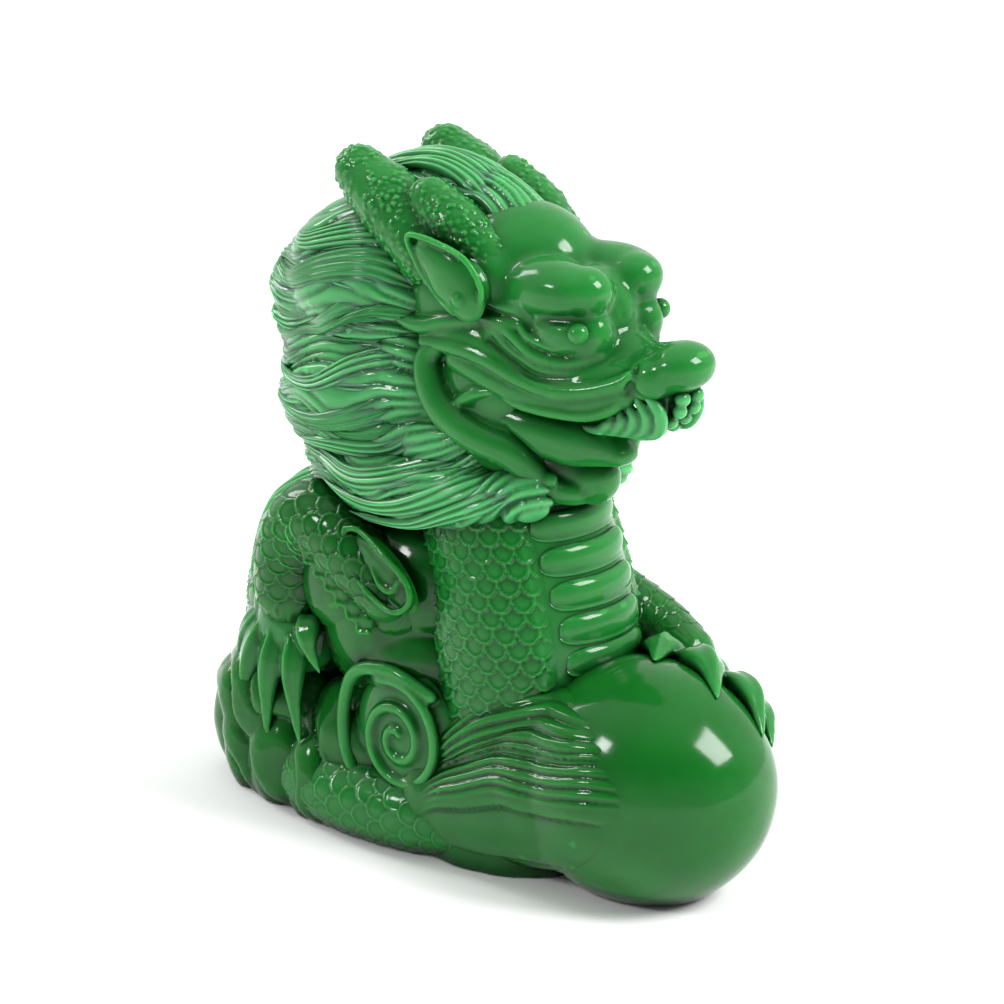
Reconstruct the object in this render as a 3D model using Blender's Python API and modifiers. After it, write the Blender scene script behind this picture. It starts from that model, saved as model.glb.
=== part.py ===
"""A small dragon figurine in jade-green cast glass, as separate castings seated on each other.

Everything is in millimetres until it reaches Blender. +X is the way the dragon looks, +Y is its left, +Z is up,
and the origin is the middle of the footprint on the table. Each casting is a union of blobs (ellipsoids) and
limbs (tapered tubes), remeshed into one skin, and each later casting is cut back from the ones it sits on.
"""

from collections import namedtuple
from math import cos, pi, radians, sin

import bmesh
import bpy
from mathutils import Euler, Matrix, Vector

MM = 0.001

# ---------------------------------------------------------------- driving dimensions, in millimetres

base_length = 62.0        # cloud base, from its rear rim to the foot of the pearl
base_half_width = 14.0    # cloud base, each side of the middle plane
base_height = 15.0        # cloud base, top of the rear rock
rear_x = -38.0            # rear rim of the cloud base

pearl_radius = 14.8       # the flaming pearl, across and up
pearl_stretch = 1.7       # how much longer than round the pearl is, fore and aft
pearl_sink = 2.2          # how far the pearl's ball is cut off by the table

neck_radius = 12.6        # the chest at its widest
head_height = 64.0        # middle of the skull above the table
head_x = 4.0              # middle of the skull, fore and aft
head_half_width = 10.5    # skull at the temples

hump_height = 29.0        # middle line of the back coil at its top
hump_radius = 11.5        # back coil
flank_half_width = 14.0   # the coil's near and far flanks, from the middle plane

horn_radius = 3.7
horn_spread = 8.3         # each horn from the middle plane
tail_radius = 5.0
arm_radius = 4.4
talon_radius = 2.5
scroll_radius = 8.2       # cloud scroll, across
rope_radius = 1.1         # the raised line of the scroll

plate_count = 7           # belly plates down the chest
plate_pitch = 3.75        # from one belly plate to the next
plate_half_height = 2.15

glue_gap = 0.4            # clearance that each casting is cut back from its neighbour
voxel = 0.8               # remeshing step of a large casting
fine_voxel = 0.5          # remeshing step of a small casting

HEAD = Vector((head_x, 0, head_height))
PEARL = Vector((rear_x + base_length + 2.0, -1.0, pearl_radius - pearl_sink))
PEARL_RADII = Vector((pearl_radius + pearl_stretch, pearl_radius - 0.8, pearl_radius))
SIDES = (("right", -1), ("left", 1))

Blob = namedtuple("Blob", "centre radii turn")
Limb = namedtuple("Limb", "stations")


# ---------------------------------------------------------------- forms

def blob(centre, radii, turn=(0, 0, 0)):
    """An ellipsoid: middle, three radii and the turn in degrees about X, Y and Z."""
    return Blob(Vector(centre), Vector(radii), turn)


def limb(*stations, start=(0, 0, 0)):
    """A tapered tube through stations of (x, y, z, radius), counted from start."""
    return Limb([(Vector(s[:3]) + Vector(start), s[3]) for s in stations])


def on_side(forms, side):
    """The forms as given for the right side (-Y), or mirrored to the left."""
    if side < 0:
        return forms
    mirror = Matrix.Scale(-1, 3, (0, 1, 0))
    made = []
    for form in forms:
        if isinstance(form, Blob):
            turn = (-form.turn[0], form.turn[1], -form.turn[2])
            made.append(Blob(mirror @ form.centre, form.radii, turn))
        else:
            made.append(Limb([(mirror @ point, radius) for point, radius in form.stations]))
    return made


def add_blob(bm, form, grow):
    radii = (form.radii + Vector((grow, grow, grow))) * MM
    turn = Euler([radians(angle) for angle in form.turn])
    bmesh.ops.create_uvsphere(bm, u_segments=24, v_segments=14, radius=1.0,
                              matrix=Matrix.LocRotScale(form.centre * MM, turn, radii))


def add_limb(bm, form, grow):
    """A bevelled curve with a radius at each station, and a ball in each end."""
    curve = bpy.data.curves.new("limb", "CURVE")
    curve.dimensions = "3D"
    curve.bevel_depth = MM
    curve.bevel_resolution = 4
    curve.resolution_u = 5
    curve.use_fill_caps = True
    spline = curve.splines.new("BEZIER")
    spline.bezier_points.add(len(form.stations) - 1)
    for knot, (point, radius) in zip(spline.bezier_points, form.stations):
        knot.co = point * MM
        knot.radius = radius + grow
        knot.handle_left_type = knot.handle_right_type = "AUTO"
    tube = bpy.data.objects.new("limb", curve)
    bpy.context.scene.collection.objects.link(tube)
    bpy.context.view_layer.update()
    graph = bpy.context.evaluated_depsgraph_get()
    mesh = bpy.data.meshes.new_from_object(tube.evaluated_get(graph))
    bm.from_mesh(mesh)
    bpy.data.objects.remove(tube)
    bpy.data.curves.remove(curve)
    bpy.data.meshes.remove(mesh)
    for point, radius in (form.stations[0], form.stations[-1]):
        add_blob(bm, Blob(point, Vector((radius, radius, radius)), (0, 0, 0)), grow)


def mesh_of(name, forms, grow=0.0):
    bm = bmesh.new()
    for form in forms:
        add = add_blob if isinstance(form, Blob) else add_limb
        add(bm, form, grow)
    bmesh.ops.remove_doubles(bm, verts=bm.verts, dist=0.001 * MM)
    mesh = bpy.data.meshes.new(name)
    bm.to_mesh(mesh)
    bm.free()
    return mesh


# ---------------------------------------------------------------- castings

castings = bpy.data.collections.new("jade_dragon")
cutters = bpy.data.collections.new("seats")
seats = {}


def jade(name, colour, roughness=0.08):
    material = bpy.data.materials.new(name)
    material.use_nodes = True
    shader = material.node_tree.nodes["Principled BSDF"]
    shader.inputs["Base Color"].default_value = (*colour, 1)
    shader.inputs["Roughness"].default_value = roughness
    shader.inputs["Metallic"].default_value = 0.0
    return material


def skin(obj, step, triangles):
    """One closed skin round all the forms, thinned to about so many triangles."""
    remesh = obj.modifiers.new("one_skin", "REMESH")
    remesh.mode = "VOXEL"
    remesh.voxel_size = step * MM
    graph = bpy.context.evaluated_depsgraph_get()
    graph.update()
    faces = len(obj.evaluated_get(graph).data.polygons)
    thin = obj.modifiers.new("thin", "DECIMATE")
    thin.ratio = min(1.0, triangles / (2 * faces))


def cut(obj, cutter):
    difference = obj.modifiers.new("off_" + cutter.name, "BOOLEAN")
    difference.operation = "DIFFERENCE"
    difference.solver = "EXACT"
    difference.object = cutter


def casting(name, forms, material, off=(), step=voxel, triangles=500, on_table=False):
    """Makes one casting, cut back from the castings named in off, and keeps its own grown shape as a cutter."""
    obj = bpy.data.objects.new(name, mesh_of(name, forms))
    castings.objects.link(obj)
    obj.data.materials.append(material)
    skin(obj, step, triangles)
    for other in off:
        cut(obj, seats[other])
    if on_table:
        cut(obj, seats["table"])
    seat = bpy.data.objects.new("seat_" + name, mesh_of("seat_" + name, forms, glue_gap))
    cutters.objects.link(seat)
    skin(seat, step, triangles)
    seat.hide_render = True
    seat.display_type = "WIRE"
    seats[name] = seat


def table_cutter():
    """Everything under the table top, which gives the figurine its flat foot."""
    bm = bmesh.new()
    size = 300.0
    bmesh.ops.create_cube(bm, size=size * MM, matrix=Matrix.Translation((0, 0, -size / 2 * MM)))
    mesh = bpy.data.meshes.new("table")
    bm.to_mesh(mesh)
    bm.free()
    table = bpy.data.objects.new("table", mesh)
    cutters.objects.link(table)
    table.hide_render = True
    table.display_type = "WIRE"
    seats["table"] = table


# ---------------------------------------------------------------- the shapes of each casting

def neck_line():
    """The chest and neck, from the base up to the skull, as (point, radius)."""
    rises = ((8.5, 0.10, -0.4), (8.6, 0.38, -0.4), (6.8, 0.54, -0.8), (3.6, 0.72, -2.0), (0.5, 0.90, -3.8))
    return [(Vector((x, 0, share * head_height)), neck_radius + more) for x, share, more in rises]


def neck_at(height):
    """The middle and radius of the neck at a height above the table."""
    line = neck_line()
    for (low, wide), (high, narrow) in zip(line, line[1:]):
        if height <= high.z:
            share = (height - low.z) / (high.z - low.z)
            return low.lerp(high, share), wide + (narrow - wide) * share
    return line[-1]


def base_forms():
    middle = rear_x + base_length * 0.45
    front = rear_x + base_length * 0.72
    forms = [
        blob((rear_x + 12.5, -1, base_height - 5.5), (14.0, base_half_width - 1.0, 9.5)),
        blob((rear_x + 16, -1, base_height - 11), (14, base_half_width - 0.5, 12)),
        blob((middle, -1, base_height - 12.5), (16, base_half_width, 12)),
        blob((front, -0.5, base_height - 13), (14, base_half_width - 1, 12)),
    ]
    for side in (-1, 1):
        for back, out, tall in ((4.5, 6.0, 8.0), (10.0, 10.0, 8.0), (17.0, 12.0, 6.5)):
            forms.append(blob((rear_x + back, side * out - 1, tall / 2), (4.8, 4.2, tall)))
    return forms


def tail_forms():
    y = -base_half_width + 2.6
    return [limb((rear_x + 13, y + 3.0, 5.5, tail_radius), (rear_x + 24, y, 4.6, tail_radius),
                 (rear_x + 35, y, 4.8, tail_radius), (rear_x + 45.5, y + 1.8, 5.4, tail_radius))]


def tuft_forms():
    """The tail's tuft of hair: locks that fan out of the tail's end and lie against the pearl."""
    root = Vector((rear_x + 41.0, -base_half_width + 2.0, 0))
    reach = PEARL.x - root.x
    wall = PEARL.y - PEARL_RADII.y
    forms = [blob((root.x + 9, -6, 8.5), (11.5, 7.5, 10.5))]
    for rise, swell, end, tip in ((12.5, 19.0, 20.5, 4.0), (10.5, 15.5, 17.0, 5.5), (8.0, 10.0, 11.5, 7.0),
                                  (4.5, 4.8, 5.5, 7.0)):
        low = 1.8 * max(0.0, (8.0 - end) / 8.0) + 0.7 * max(0.0, end - 16.0)
        forms.append(limb((root.x, root.y + 0.8, rise, 3.4), (root.x + reach * 0.36, wall + 2.8, swell, 3.8),
                          (root.x + reach * 0.75, wall + 1.4 + low, end, 3.0),
                          (root.x + reach + tip - 1.0, wall + 2.0 + low, end + 0.4, 1.2)))
    return forms


def spiral(centre, outer, inner, turns, steps, depth):
    """Stations of a spiral rope that winds inwards in the X-Z plane."""
    stations = []
    for i in range(steps):
        share = i / (steps - 1)
        angle = radians(100) - turns * 2 * pi * share
        reach = outer + (inner - outer) * share ** 0.8
        stations.append((centre[0] + reach * cos(angle), depth, centre[2] + reach * sin(angle), rope_radius))
    return stations


def scroll_forms(side):
    centre = Vector((rear_x + 36.5, -base_half_width, base_height - 1.2))
    rope = spiral(centre, scroll_radius - 1.0, 1.6, 1.7, 16, -base_half_width - 1.0)
    stem = ((centre.x - 1, -base_half_width - 0.6, centre.z + scroll_radius - 0.6, 1.2),
            (centre.x - 6, -base_half_width - 0.2, centre.z + scroll_radius - 1.0, 1.4),
            (centre.x - 10.5, -base_half_width + 0.6, centre.z + 4, 1.6),
            (centre.x - 9.5, -base_half_width - 0.2, centre.z - 4, 1.6),
            (centre.x - 4, -base_half_width - 0.2, centre.z - 8.8, 1.4))
    plate = blob(centre + Vector((0, 1.6, 0)), (scroll_radius, 2.6, scroll_radius))
    return on_side([plate, limb(*rope), limb(*stem)], side)


def body_forms():
    top = hump_height
    return [
        limb((-4, 2, top - 5, 10.0), (-13, 2, top, hump_radius), (-22.5, 1, top - 1, hump_radius - 0.5),
             (-25.5, 0, top - 14, hump_radius - 1.0)),
        blob((-4, 0, top - 7), (12, flank_half_width, 10.5)),
    ]


def plate_forms():
    """Rounded bands across the front of the neck, each lapping the next."""
    top = head_height * 0.72
    forms = []
    for i in range(plate_count):
        centre, radius = neck_at(top - plate_pitch * i)
        reach = radius + 0.2
        half = 42 - 1.6 * i
        ring = [(centre.x + reach * cos(radians(a)), reach * sin(radians(a)), centre.z, plate_half_height)
                for a in (-half, -half / 2, 0, half / 2, half)]
        forms.append(limb(*ring))
    return forms


def head_forms():
    w = head_half_width
    forms = [
        blob(HEAD + Vector((-3, 0, 3)), (12, w, 11)),
        blob(HEAD + Vector((4.5, 0, 9.5)), (10, w - 3.5, 6)),
        limb((9, 0, 2, 7.0), (16, 0, -1.0, 5.6), (22, 0, -1.5, 4.2), (24.5, 0, -1.2, 3.6), start=HEAD),
        blob(HEAD + Vector((25.4, 0, -0.6)), (3.4, 4.2, 3.0)),
    ]
    for side in (-1, 1):
        forms += on_side([
            blob(HEAD + Vector((9.0, -5.0, 8.2)), (8.8, 4.6, 4.6), (0, 16, 6)),
            blob(HEAD + Vector((13.6, -4.6, 2.4)), (5.2, 3.4, 4.2)),
            blob(HEAD + Vector((23.4, -3.8, -1.4)), (2.9, 2.4, 2.4)),
            limb((-2, 0.6 - w, 1.5, 2.6), (4, 0.2 - w, -2.4, 2.6), (11, 1.6 - w, -4.6, 2.4), (17, 4.0 - w, -4.2, 2.2),
                 (22, 6.0 - w, -3.0, 2.0), start=HEAD),
        ], side)
    return forms


def jaw_forms():
    w = head_half_width
    forms = [limb((-1, 0, -11, 7.5), (6, 0, -14, 6.0), (11.5, 0, -15.6, 4.4), (15.0, 0, -15.0, 3.2), start=HEAD)]
    for side in (-1, 1):
        forms += on_side([
            limb((-3.4, -0.1 - w, -1.5, 2.1), (-3.6, -0.7 - w, -6, 2.2), (-1.8, -0.8 - w, -9, 2.2), (3, -0.3 - w, -10.6, 2.1),
                 (8.5, 0.9 - w, -11.6, 2.1), (11.5, 3.5 - w, -14, 2.1), (12.5, 5.5 - w, -16.6, 2.1), start=HEAD),
            blob(HEAD + Vector((16.8, -2.4, -12.6)), (0.9, 0.9, 1.9), (0, 20, 0)),
        ], side)
    return forms


def tongue_forms():
    return [limb((5, 0, -9.6, 4.4), (11, 0, -9.8, 4.8), (15.4, 0, -11.0, 4.0), start=HEAD)]


def beard_forms():
    """Curled whiskers under the nose."""
    forms = [limb((23.0, 0, -4.5, 2.6), (23.6, 0, -7.0, 2.2), (21.4, 0, -9.4, 1.6), start=HEAD)]
    for side in (-1, 1):
        forms += on_side([
            limb((21.5, -2.4, -4.4, 2.0), (22.4, -3.2, -6.6, 1.8), (19.2, -3.6, -8.8, 1.3), start=HEAD),
            limb((25.0, -1.6, -4.0, 1.5), (26.2, -1.8, -5.8, 1.3), (25.2, -2.0, -7.4, 1.0), start=HEAD),
        ], side)
    return forms


def horn_forms(side):
    y, r = -horn_spread, horn_radius
    return on_side([
        limb((4.5, y + 1.2, 9.0, r - 0.2), (0, y + 0.6, 13.2, r), (-4.2, y, 16.4, r - 0.6), (-5.6, y - 0.2, 17.4, r - 1.3),
             start=HEAD),
        limb((-6, y + 0.6, 8.0, r + 0.4), (-12, y - 0.2, 12.4, r + 0.4), (-16.5, y - 0.6, 16.0, r - 0.2),
             (-18.6, y - 0.8, 17.6, r - 1.2), start=HEAD),
        limb((4, y + 1.6, 8.2, r - 0.4), (-6, y + 1.4, 7.4, r), start=HEAD),
    ], side)


def ear_forms(side):
    y = -head_half_width
    return on_side([limb((2.5, y - 0.4, 3.2, 2.2), (-1, y - 1.0, 6.6, 2.9), (-4.4, y - 1.4, 10.2, 1.9),
                         (-6.2, y - 1.6, 12.4, 0.8), start=HEAD)], side)


def eye_forms(side):
    return on_side([blob(HEAD + Vector((16.4, 3.2 - head_half_width, 2.9)), (1.6, 1.6, 1.6))], side)


def mane_forms(side):
    w = head_half_width
    return on_side([
        blob(HEAD + Vector((-16.5, 5.0 - w, 3.5)), (12.5, 8.5, 10)),
        blob(HEAD + Vector((-25, 6.0 - w, -0.5)), (9.5, 6.5, 8.5)),
        blob(HEAD + Vector((-16.5, 4.5 - w, -10)), (15, 9, 11)),
        blob(HEAD + Vector((-9.5, 2.5 - w, -10)), (6.0, 5.0, 8)),
        limb((-22, 3.5 - w, -19.5, 4.8), (-12, -1.0 - w, -20, 4.6), (0, -0.8 - w, -19.4, 4.2), (9, 2.8 - w, -18.0, 2.8),
             start=HEAD),
    ], side)


def crest_forms():
    return [limb((8, 0, 12.2, 2.8), (-4, 0, 14.2, 3.8), (-15, 0, 12.0, 5.0), (-24.5, 0, 6.5, 6.0), (-29, 0, -3.0, 6.0),
                 (-28.5, 0, -14.0, 5.4), start=HEAD)]


def back_hair_forms():
    """The long hair that falls from the mane down the back coil."""
    back = -22 - hump_radius
    top = head_height - 20.5
    return [limb((back + 4.6, 0, top + 1, 5.4), (back + 1.0, 0, top * 0.84, 4.8), (back - 0.6, 0, top * 0.62, 4.4),
                 (back - 1.0, 0, top * 0.42, 3.2))]


def foreleg_right_forms():
    y = 1.0 - flank_half_width
    top = hump_height
    return [limb((1.0, y - 0.6, top + 1.5, arm_radius - 1.4), (-8, y - 0.6, top + 5.5, arm_radius - 0.5),
                 (-17, y + 0.8, top + 8.8, arm_radius), (-21, y + 1.2, top + 3.5, arm_radius),
                 (-21.5, y + 1.4, top - 2.5, arm_radius))]


def talons(roots, tips, side, bend):
    """One hooked claw from each root to each tip, bowed outwards."""
    forms = []
    for root, tip in zip(roots, tips):
        root, tip = Vector(root), Vector(tip)
        knuckle = root.lerp(tip, 0.45) + Vector(bend)
        forms.append(limb((*root, talon_radius), (*knuckle, talon_radius + 0.1), (*root.lerp(tip, 0.8), talon_radius * 0.62),
                          (*tip, talon_radius * 0.26)))
    return on_side(forms, side)


def paw_right_forms():
    y = 1.0 - flank_half_width
    top = hump_height
    wrist = Vector((-22, y + 2.0, top - 6))
    roots = [wrist + Vector(p) for p in ((-6, 1.0, -0.5), (-2.5, -0.5, -2), (1.5, -1.5, -2), (6, -0.8, 0.5))]
    tips = [wrist + Vector(p) for p in ((-11.0, -1.6, -12), (-4.5, -3.4, -12.5), (3.0, -4.0, -12), (8.5, -3.6, -6))]
    return [blob(wrist, (6.5, 4.2, 4.6))] + talons(roots, tips, -1, (0, -1.0, 0))


def on_pearl(forward, left, out=0.0):
    """A point on the pearl's upper surface, at shares of its fore-and-aft and sideways radii."""
    height = max(0.0, 1.0 - forward ** 2 - left ** 2) ** 0.5
    unit = Vector((forward, left, height))
    reach = Vector((unit.x * (PEARL_RADII.x + out), unit.y * (PEARL_RADII.y + out), unit.z * (PEARL_RADII.z + out)))
    return PEARL + reach


def foreleg_left_forms():
    shoulder = Vector((12, flank_half_width - 4.5, hump_height - 0.5))
    wrist = on_pearl(-0.22, 0.74, 2.6)
    elbow = shoulder.lerp(wrist, 0.5) + Vector((0, 1.5, -0.6))
    return [limb((*shoulder, arm_radius + 0.2), (*elbow, arm_radius - 0.2), (*wrist, arm_radius - 0.6))]


def paw_left_forms():
    palm = on_pearl(-0.08, 0.72, 1.0)
    roots = [on_pearl(*p, 1.2) for p in ((-0.20, 0.50), (0.08, 0.58), (0.26, 0.74), (-0.30, 0.84))]
    tips = [on_pearl(*p, 0.6) for p in ((-0.12, 0.12), (0.50, 0.32), (0.66, 0.66), (0.10, 0.98))]
    return [blob(palm, (5.0, 4.4, 3.6))] + talons(roots, tips, -1, (0, 0, 1.2))


# ---------------------------------------------------------------- assembly, lowest casting first

def build():
    deep = jade("jade_deep", (0.012, 0.16, 0.035))
    bright = jade("jade_bright", (0.03, 0.26, 0.06))
    table_cutter()
    casting("flaming_pearl", [blob(PEARL, PEARL_RADII)], deep, triangles=600, on_table=True)
    casting("cloud_base", base_forms(), deep, off=["flaming_pearl"], triangles=700, on_table=True)
    casting("tail", tail_forms(), bright, off=["cloud_base", "flaming_pearl"], triangles=240, on_table=True)
    low = ["flaming_pearl", "cloud_base", "tail"]
    casting("tail_tuft", tuft_forms(), bright, off=low, triangles=560, on_table=True)
    low.append("tail_tuft")
    casting("neck", [Limb(neck_line())], deep, off=low, triangles=380, on_table=True)
    low.append("neck")
    casting("body_coil", body_forms(), deep, off=low, triangles=520)
    low.append("body_coil")
    casting("belly_plates", plate_forms(), deep, off=low, step=fine_voxel, triangles=540)
    for name, side in SIDES:
        casting("cloud_scroll_" + name, scroll_forms(side), deep, off=low, step=fine_voxel, triangles=400)
    casting("head", head_forms(), deep, off=["neck"], step=fine_voxel, triangles=840)
    casting("lower_jaw", jaw_forms(), bright, off=["head", "neck", "belly_plates"], step=fine_voxel, triangles=680)
    casting("tongue", tongue_forms(), bright, off=["head", "lower_jaw", "neck"], step=fine_voxel, triangles=260)
    casting("nose_whiskers", beard_forms(), bright, off=["head", "tongue", "lower_jaw"], step=fine_voxel, triangles=300)
    for name, side in SIDES:
        casting("eye_" + name, eye_forms(side), bright, off=["head"], step=0.25, triangles=120)
        casting("ear_" + name, ear_forms(side), bright, off=["head", "lower_jaw"], step=fine_voxel, triangles=160)
        casting("horn_" + name, horn_forms(side), deep, off=["head", "ear_" + name], step=fine_voxel, triangles=280)
    casting("mane_crest", crest_forms(), bright, off=["head", "neck", "horn_right", "horn_left", "body_coil"],
            triangles=360)
    for name, side in SIDES:
        off = ["head", "neck", "lower_jaw", "belly_plates", "horn_" + name, "ear_" + name, "mane_crest", "body_coil"]
        casting("mane_" + name, mane_forms(side), bright, off=off + ["mane_right"] * (side > 0), triangles=560)
    off = ["body_coil", "cloud_base", "mane_crest", "mane_right", "mane_left"]
    casting("back_hair", back_hair_forms(), bright, off=off, triangles=240)
    off = ["body_coil", "cloud_base", "mane_right", "cloud_scroll_right", "tail", "neck"]
    casting("foreleg_right", foreleg_right_forms(), deep, off=off, step=fine_voxel, triangles=340)
    off = ["foreleg_right", "body_coil", "cloud_base", "tail", "cloud_scroll_right", "back_hair"]
    casting("paw_right", paw_right_forms(), deep, off=off, step=fine_voxel, triangles=400)
    off = ["flaming_pearl", "neck", "belly_plates", "body_coil", "cloud_base", "mane_left", "tail_tuft"]
    casting("foreleg_left", foreleg_left_forms(), deep, off=off, step=fine_voxel, triangles=240)
    casting("paw_left", paw_left_forms(), deep, off=off[:3] + ["foreleg_left"], step=fine_voxel, triangles=400)


for old in list(bpy.data.objects):
    bpy.data.objects.remove(old)
bpy.context.scene.collection.children.link(castings)
bpy.context.scene.collection.children.link(cutters)
build()
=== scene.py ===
# %% [markdown]
# # A small dragon in cast jade glass
# The real thing looks like one casting, and its true size is not known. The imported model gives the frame:
# every casting's place and size, in metres. This script gives each of them its modelling and its finish.
# Shapes are worked out in millimetres, because that is how a carver would think of them, and turned to
# metres when a piece is finished.

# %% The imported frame
import random
from math import cos, pi, radians, sin, tau

import bmesh
import bpy
import numpy as np
from mathutils import Euler, Matrix, Vector, noise
from mathutils.bvhtree import BVHTree


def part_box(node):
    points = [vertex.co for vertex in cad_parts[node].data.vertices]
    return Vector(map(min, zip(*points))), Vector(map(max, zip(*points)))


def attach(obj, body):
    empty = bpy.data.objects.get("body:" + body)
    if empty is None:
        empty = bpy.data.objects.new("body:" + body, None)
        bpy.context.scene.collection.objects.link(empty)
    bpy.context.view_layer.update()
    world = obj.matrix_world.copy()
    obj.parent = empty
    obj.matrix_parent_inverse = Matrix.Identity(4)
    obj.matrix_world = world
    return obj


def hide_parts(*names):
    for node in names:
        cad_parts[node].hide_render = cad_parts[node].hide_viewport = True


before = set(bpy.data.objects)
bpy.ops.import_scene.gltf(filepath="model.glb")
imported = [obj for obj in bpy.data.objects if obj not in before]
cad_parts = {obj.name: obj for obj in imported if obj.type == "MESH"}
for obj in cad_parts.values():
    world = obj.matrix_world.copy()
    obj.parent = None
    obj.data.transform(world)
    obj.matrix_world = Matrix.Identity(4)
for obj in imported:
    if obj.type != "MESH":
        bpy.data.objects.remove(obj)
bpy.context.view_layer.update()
MM = 0.001


def box_mm(node):
    """Lowest and highest corner of a casting, in millimetres."""
    low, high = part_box(node)
    return Vector(low) / MM, Vector(high) / MM


head_low, head_high = box_mm("head")
pearl_low, pearl_high = box_mm("flaming_pearl")
HEAD = Vector((head_low.x + 15.0, 0, head_high.z - 15.6))
PEARL_RADII = Vector((pearl_high - pearl_low) / 2)
PEARL_RADII.z = PEARL_RADII.y + 0.8
PEARL = Vector(((pearl_low.x + pearl_high.x) / 2, (pearl_low.y + pearl_high.y) / 2,
                pearl_high.z - PEARL_RADII.z))
print("skull middle", [round(v, 1) for v in HEAD], "pearl", [round(v, 1) for v in PEARL], "mm")


# %% [markdown]
# ## Smooth lines
# Hair, claws and lips all follow smooth lines. A line is a short list of given points, and a
# Catmull-Rom spline passes through every one of them. Rows may hold more than x, y and z, so a radius can
# ride along.

# %% A smooth line through chosen points
def unit(rows):
    """Each row made one long."""
    rows = np.asarray(rows, float)
    return rows / np.maximum(np.linalg.norm(rows, axis=-1, keepdims=True), 1e-9)


def line(points, count):
    """count rows along the smooth curve through points."""
    points = np.asarray([tuple(p) for p in points], float)
    last = len(points) - 1
    padded = np.vstack([2 * points[0] - points[1], points, 2 * points[-1] - points[-2]])
    t = np.linspace(0, last, count)
    i = np.minimum(t.astype(int), last - 1)
    f = (t - i)[:, None]
    a, b, c, d = (padded[i + k] for k in range(4))
    return 0.5 * (2 * b + (c - a) * f + (2 * a - 5 * b + 4 * c - d) * f ** 2
                  + (3 * b - a - 3 * c + d) * f ** 3)


# %% [markdown]
# ## Lofts
# A lock of hair is a tapering loft with several flutes combed into its outer face. A grid operator makes
# the faces, the grid is rolled round the line, and merging doubles closes the seam and the two ends.

# %% A loft with combed flutes
OUTER_SHARE = 0.76  # share of the points round a loft that lie on its outer face, where the flutes are


def loft(bm, centres, up, wide, high, around=24, flutes=0, groove=0.0, under=1.0, relief=None):
    """A closed tube along centres. up points outwards, wide and high are half sizes, groove is in mm."""
    rings = len(centres)
    tangent = unit(np.gradient(centres, axis=0))
    side = unit(np.cross(tangent, up))
    rise = np.cross(side, tangent)
    verts = bmesh.ops.create_grid(bm, x_segments=rings - 1, y_segments=around, size=1.0)["verts"]
    grid = np.array([v.co for v in verts])
    ring = np.rint((grid[:, 0] * 0.5 + 0.5) * (rings - 1)).astype(int)
    turn = grid[:, 1] * 0.5 + 0.5
    angle = np.where(turn < OUTER_SHARE, pi * turn / OUTER_SHARE,
                     pi + pi * (turn - OUTER_SHARE) / (1 - OUTER_SHARE))
    across, out = np.cos(angle), np.sin(angle)
    lift = high[ring] * np.where(out > 0, out, out * under)
    if flutes:
        valley = (1 - np.abs(np.sin(pi * flutes * (across + 1) / 2))) * np.clip(out, 0, 1) ** 0.35
        full = np.minimum(1.0, wide[ring] / (0.6 * wide.max()))
        lift -= groove * valley * full
    if relief is not None:
        lift += relief(ring / (rings - 1), across, out) * (out > 0)
    places = centres[ring] + side[ring] * (wide[ring] * across)[:, None] + rise[ring] * lift[:, None]
    for vert, place in zip(verts, places):
        vert.co = place
    bmesh.ops.remove_doubles(bm, verts=verts, dist=0.002)


def rounded(centres, radii, steps=5):
    """Adds rings past both ends so that a tube closes in a half ball."""
    start, end = unit(centres[0] - centres[1]), unit(centres[-1] - centres[-2])
    turn = np.linspace(pi / 2, 0, steps, endpoint=False)[:, None]
    first = centres[0] + start * radii[0] * np.sin(turn)
    last = (centres[-1] + end * radii[-1] * np.sin(turn))[::-1]
    ease = np.cos(turn[:, 0])
    return (np.vstack([first, centres, last]),
            np.concatenate([radii[0] * ease, radii, radii[-1] * ease[::-1]]))


def tube(bm, stations, up=(0, 0, 1), flat=1.0, rings=28, around=24, **extra):
    """A round-ended tube through stations of (x, y, z, radius). A flat below 1 presses it along up."""
    rows = line(stations, rings)
    centres, radii = rounded(rows[:, :3], rows[:, 3])
    loft(bm, centres, np.broadcast_to(np.array(up, float), centres.shape), radii, radii * flat, around,
         **extra)


def ball(bm, centre, radii, turn=(0, 0, 0), fine=32):
    """An ellipsoid of three radii, turned by degrees about X, Y and Z."""
    matrix = Matrix.LocRotScale(Vector(centre), Euler([radians(a) for a in turn]), Vector(radii))
    bmesh.ops.create_uvsphere(bm, u_segments=fine, v_segments=fine // 2, radius=1.0, matrix=matrix)


# %% [markdown]
# ## One skin
# Clay pressed onto clay leaves one surface with soft creases. The Remesh modifier does the same to balls
# and tubes that run into each other: it wraps them in one closed skin. A few rounds of smoothing then take
# off its steps.

# %% Wrapping and finishing
def wrapped(bm, voxel, rounds=4):
    """One closed, smoothed skin round everything in bm, as a mesh in millimetres."""
    mesh = bpy.data.meshes.new("clay")
    bm.to_mesh(mesh)
    bm.free()
    clay = bpy.data.objects.new("clay", mesh)
    bpy.context.scene.collection.objects.link(clay)
    remesh = clay.modifiers.new("skin", "REMESH")
    remesh.mode = "VOXEL"
    remesh.voxel_size = voxel
    smooth = clay.modifiers.new("smooth", "SMOOTH")
    smooth.factor = 0.5
    smooth.iterations = rounds
    graph = bpy.context.evaluated_depsgraph_get()
    skin = bpy.data.meshes.new_from_object(clay.evaluated_get(graph))
    bpy.data.objects.remove(clay)
    bpy.data.meshes.remove(mesh)
    return skin


def rows_of(mesh):
    """The mesh's vertex places and normals as two arrays."""
    places, normals = np.empty(len(mesh.vertices) * 3), np.empty(len(mesh.vertices) * 3)
    mesh.vertices.foreach_get("co", places)
    mesh.vertices.foreach_get("normal", normals)
    return places.reshape(-1, 3), normals.reshape(-1, 3)


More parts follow.
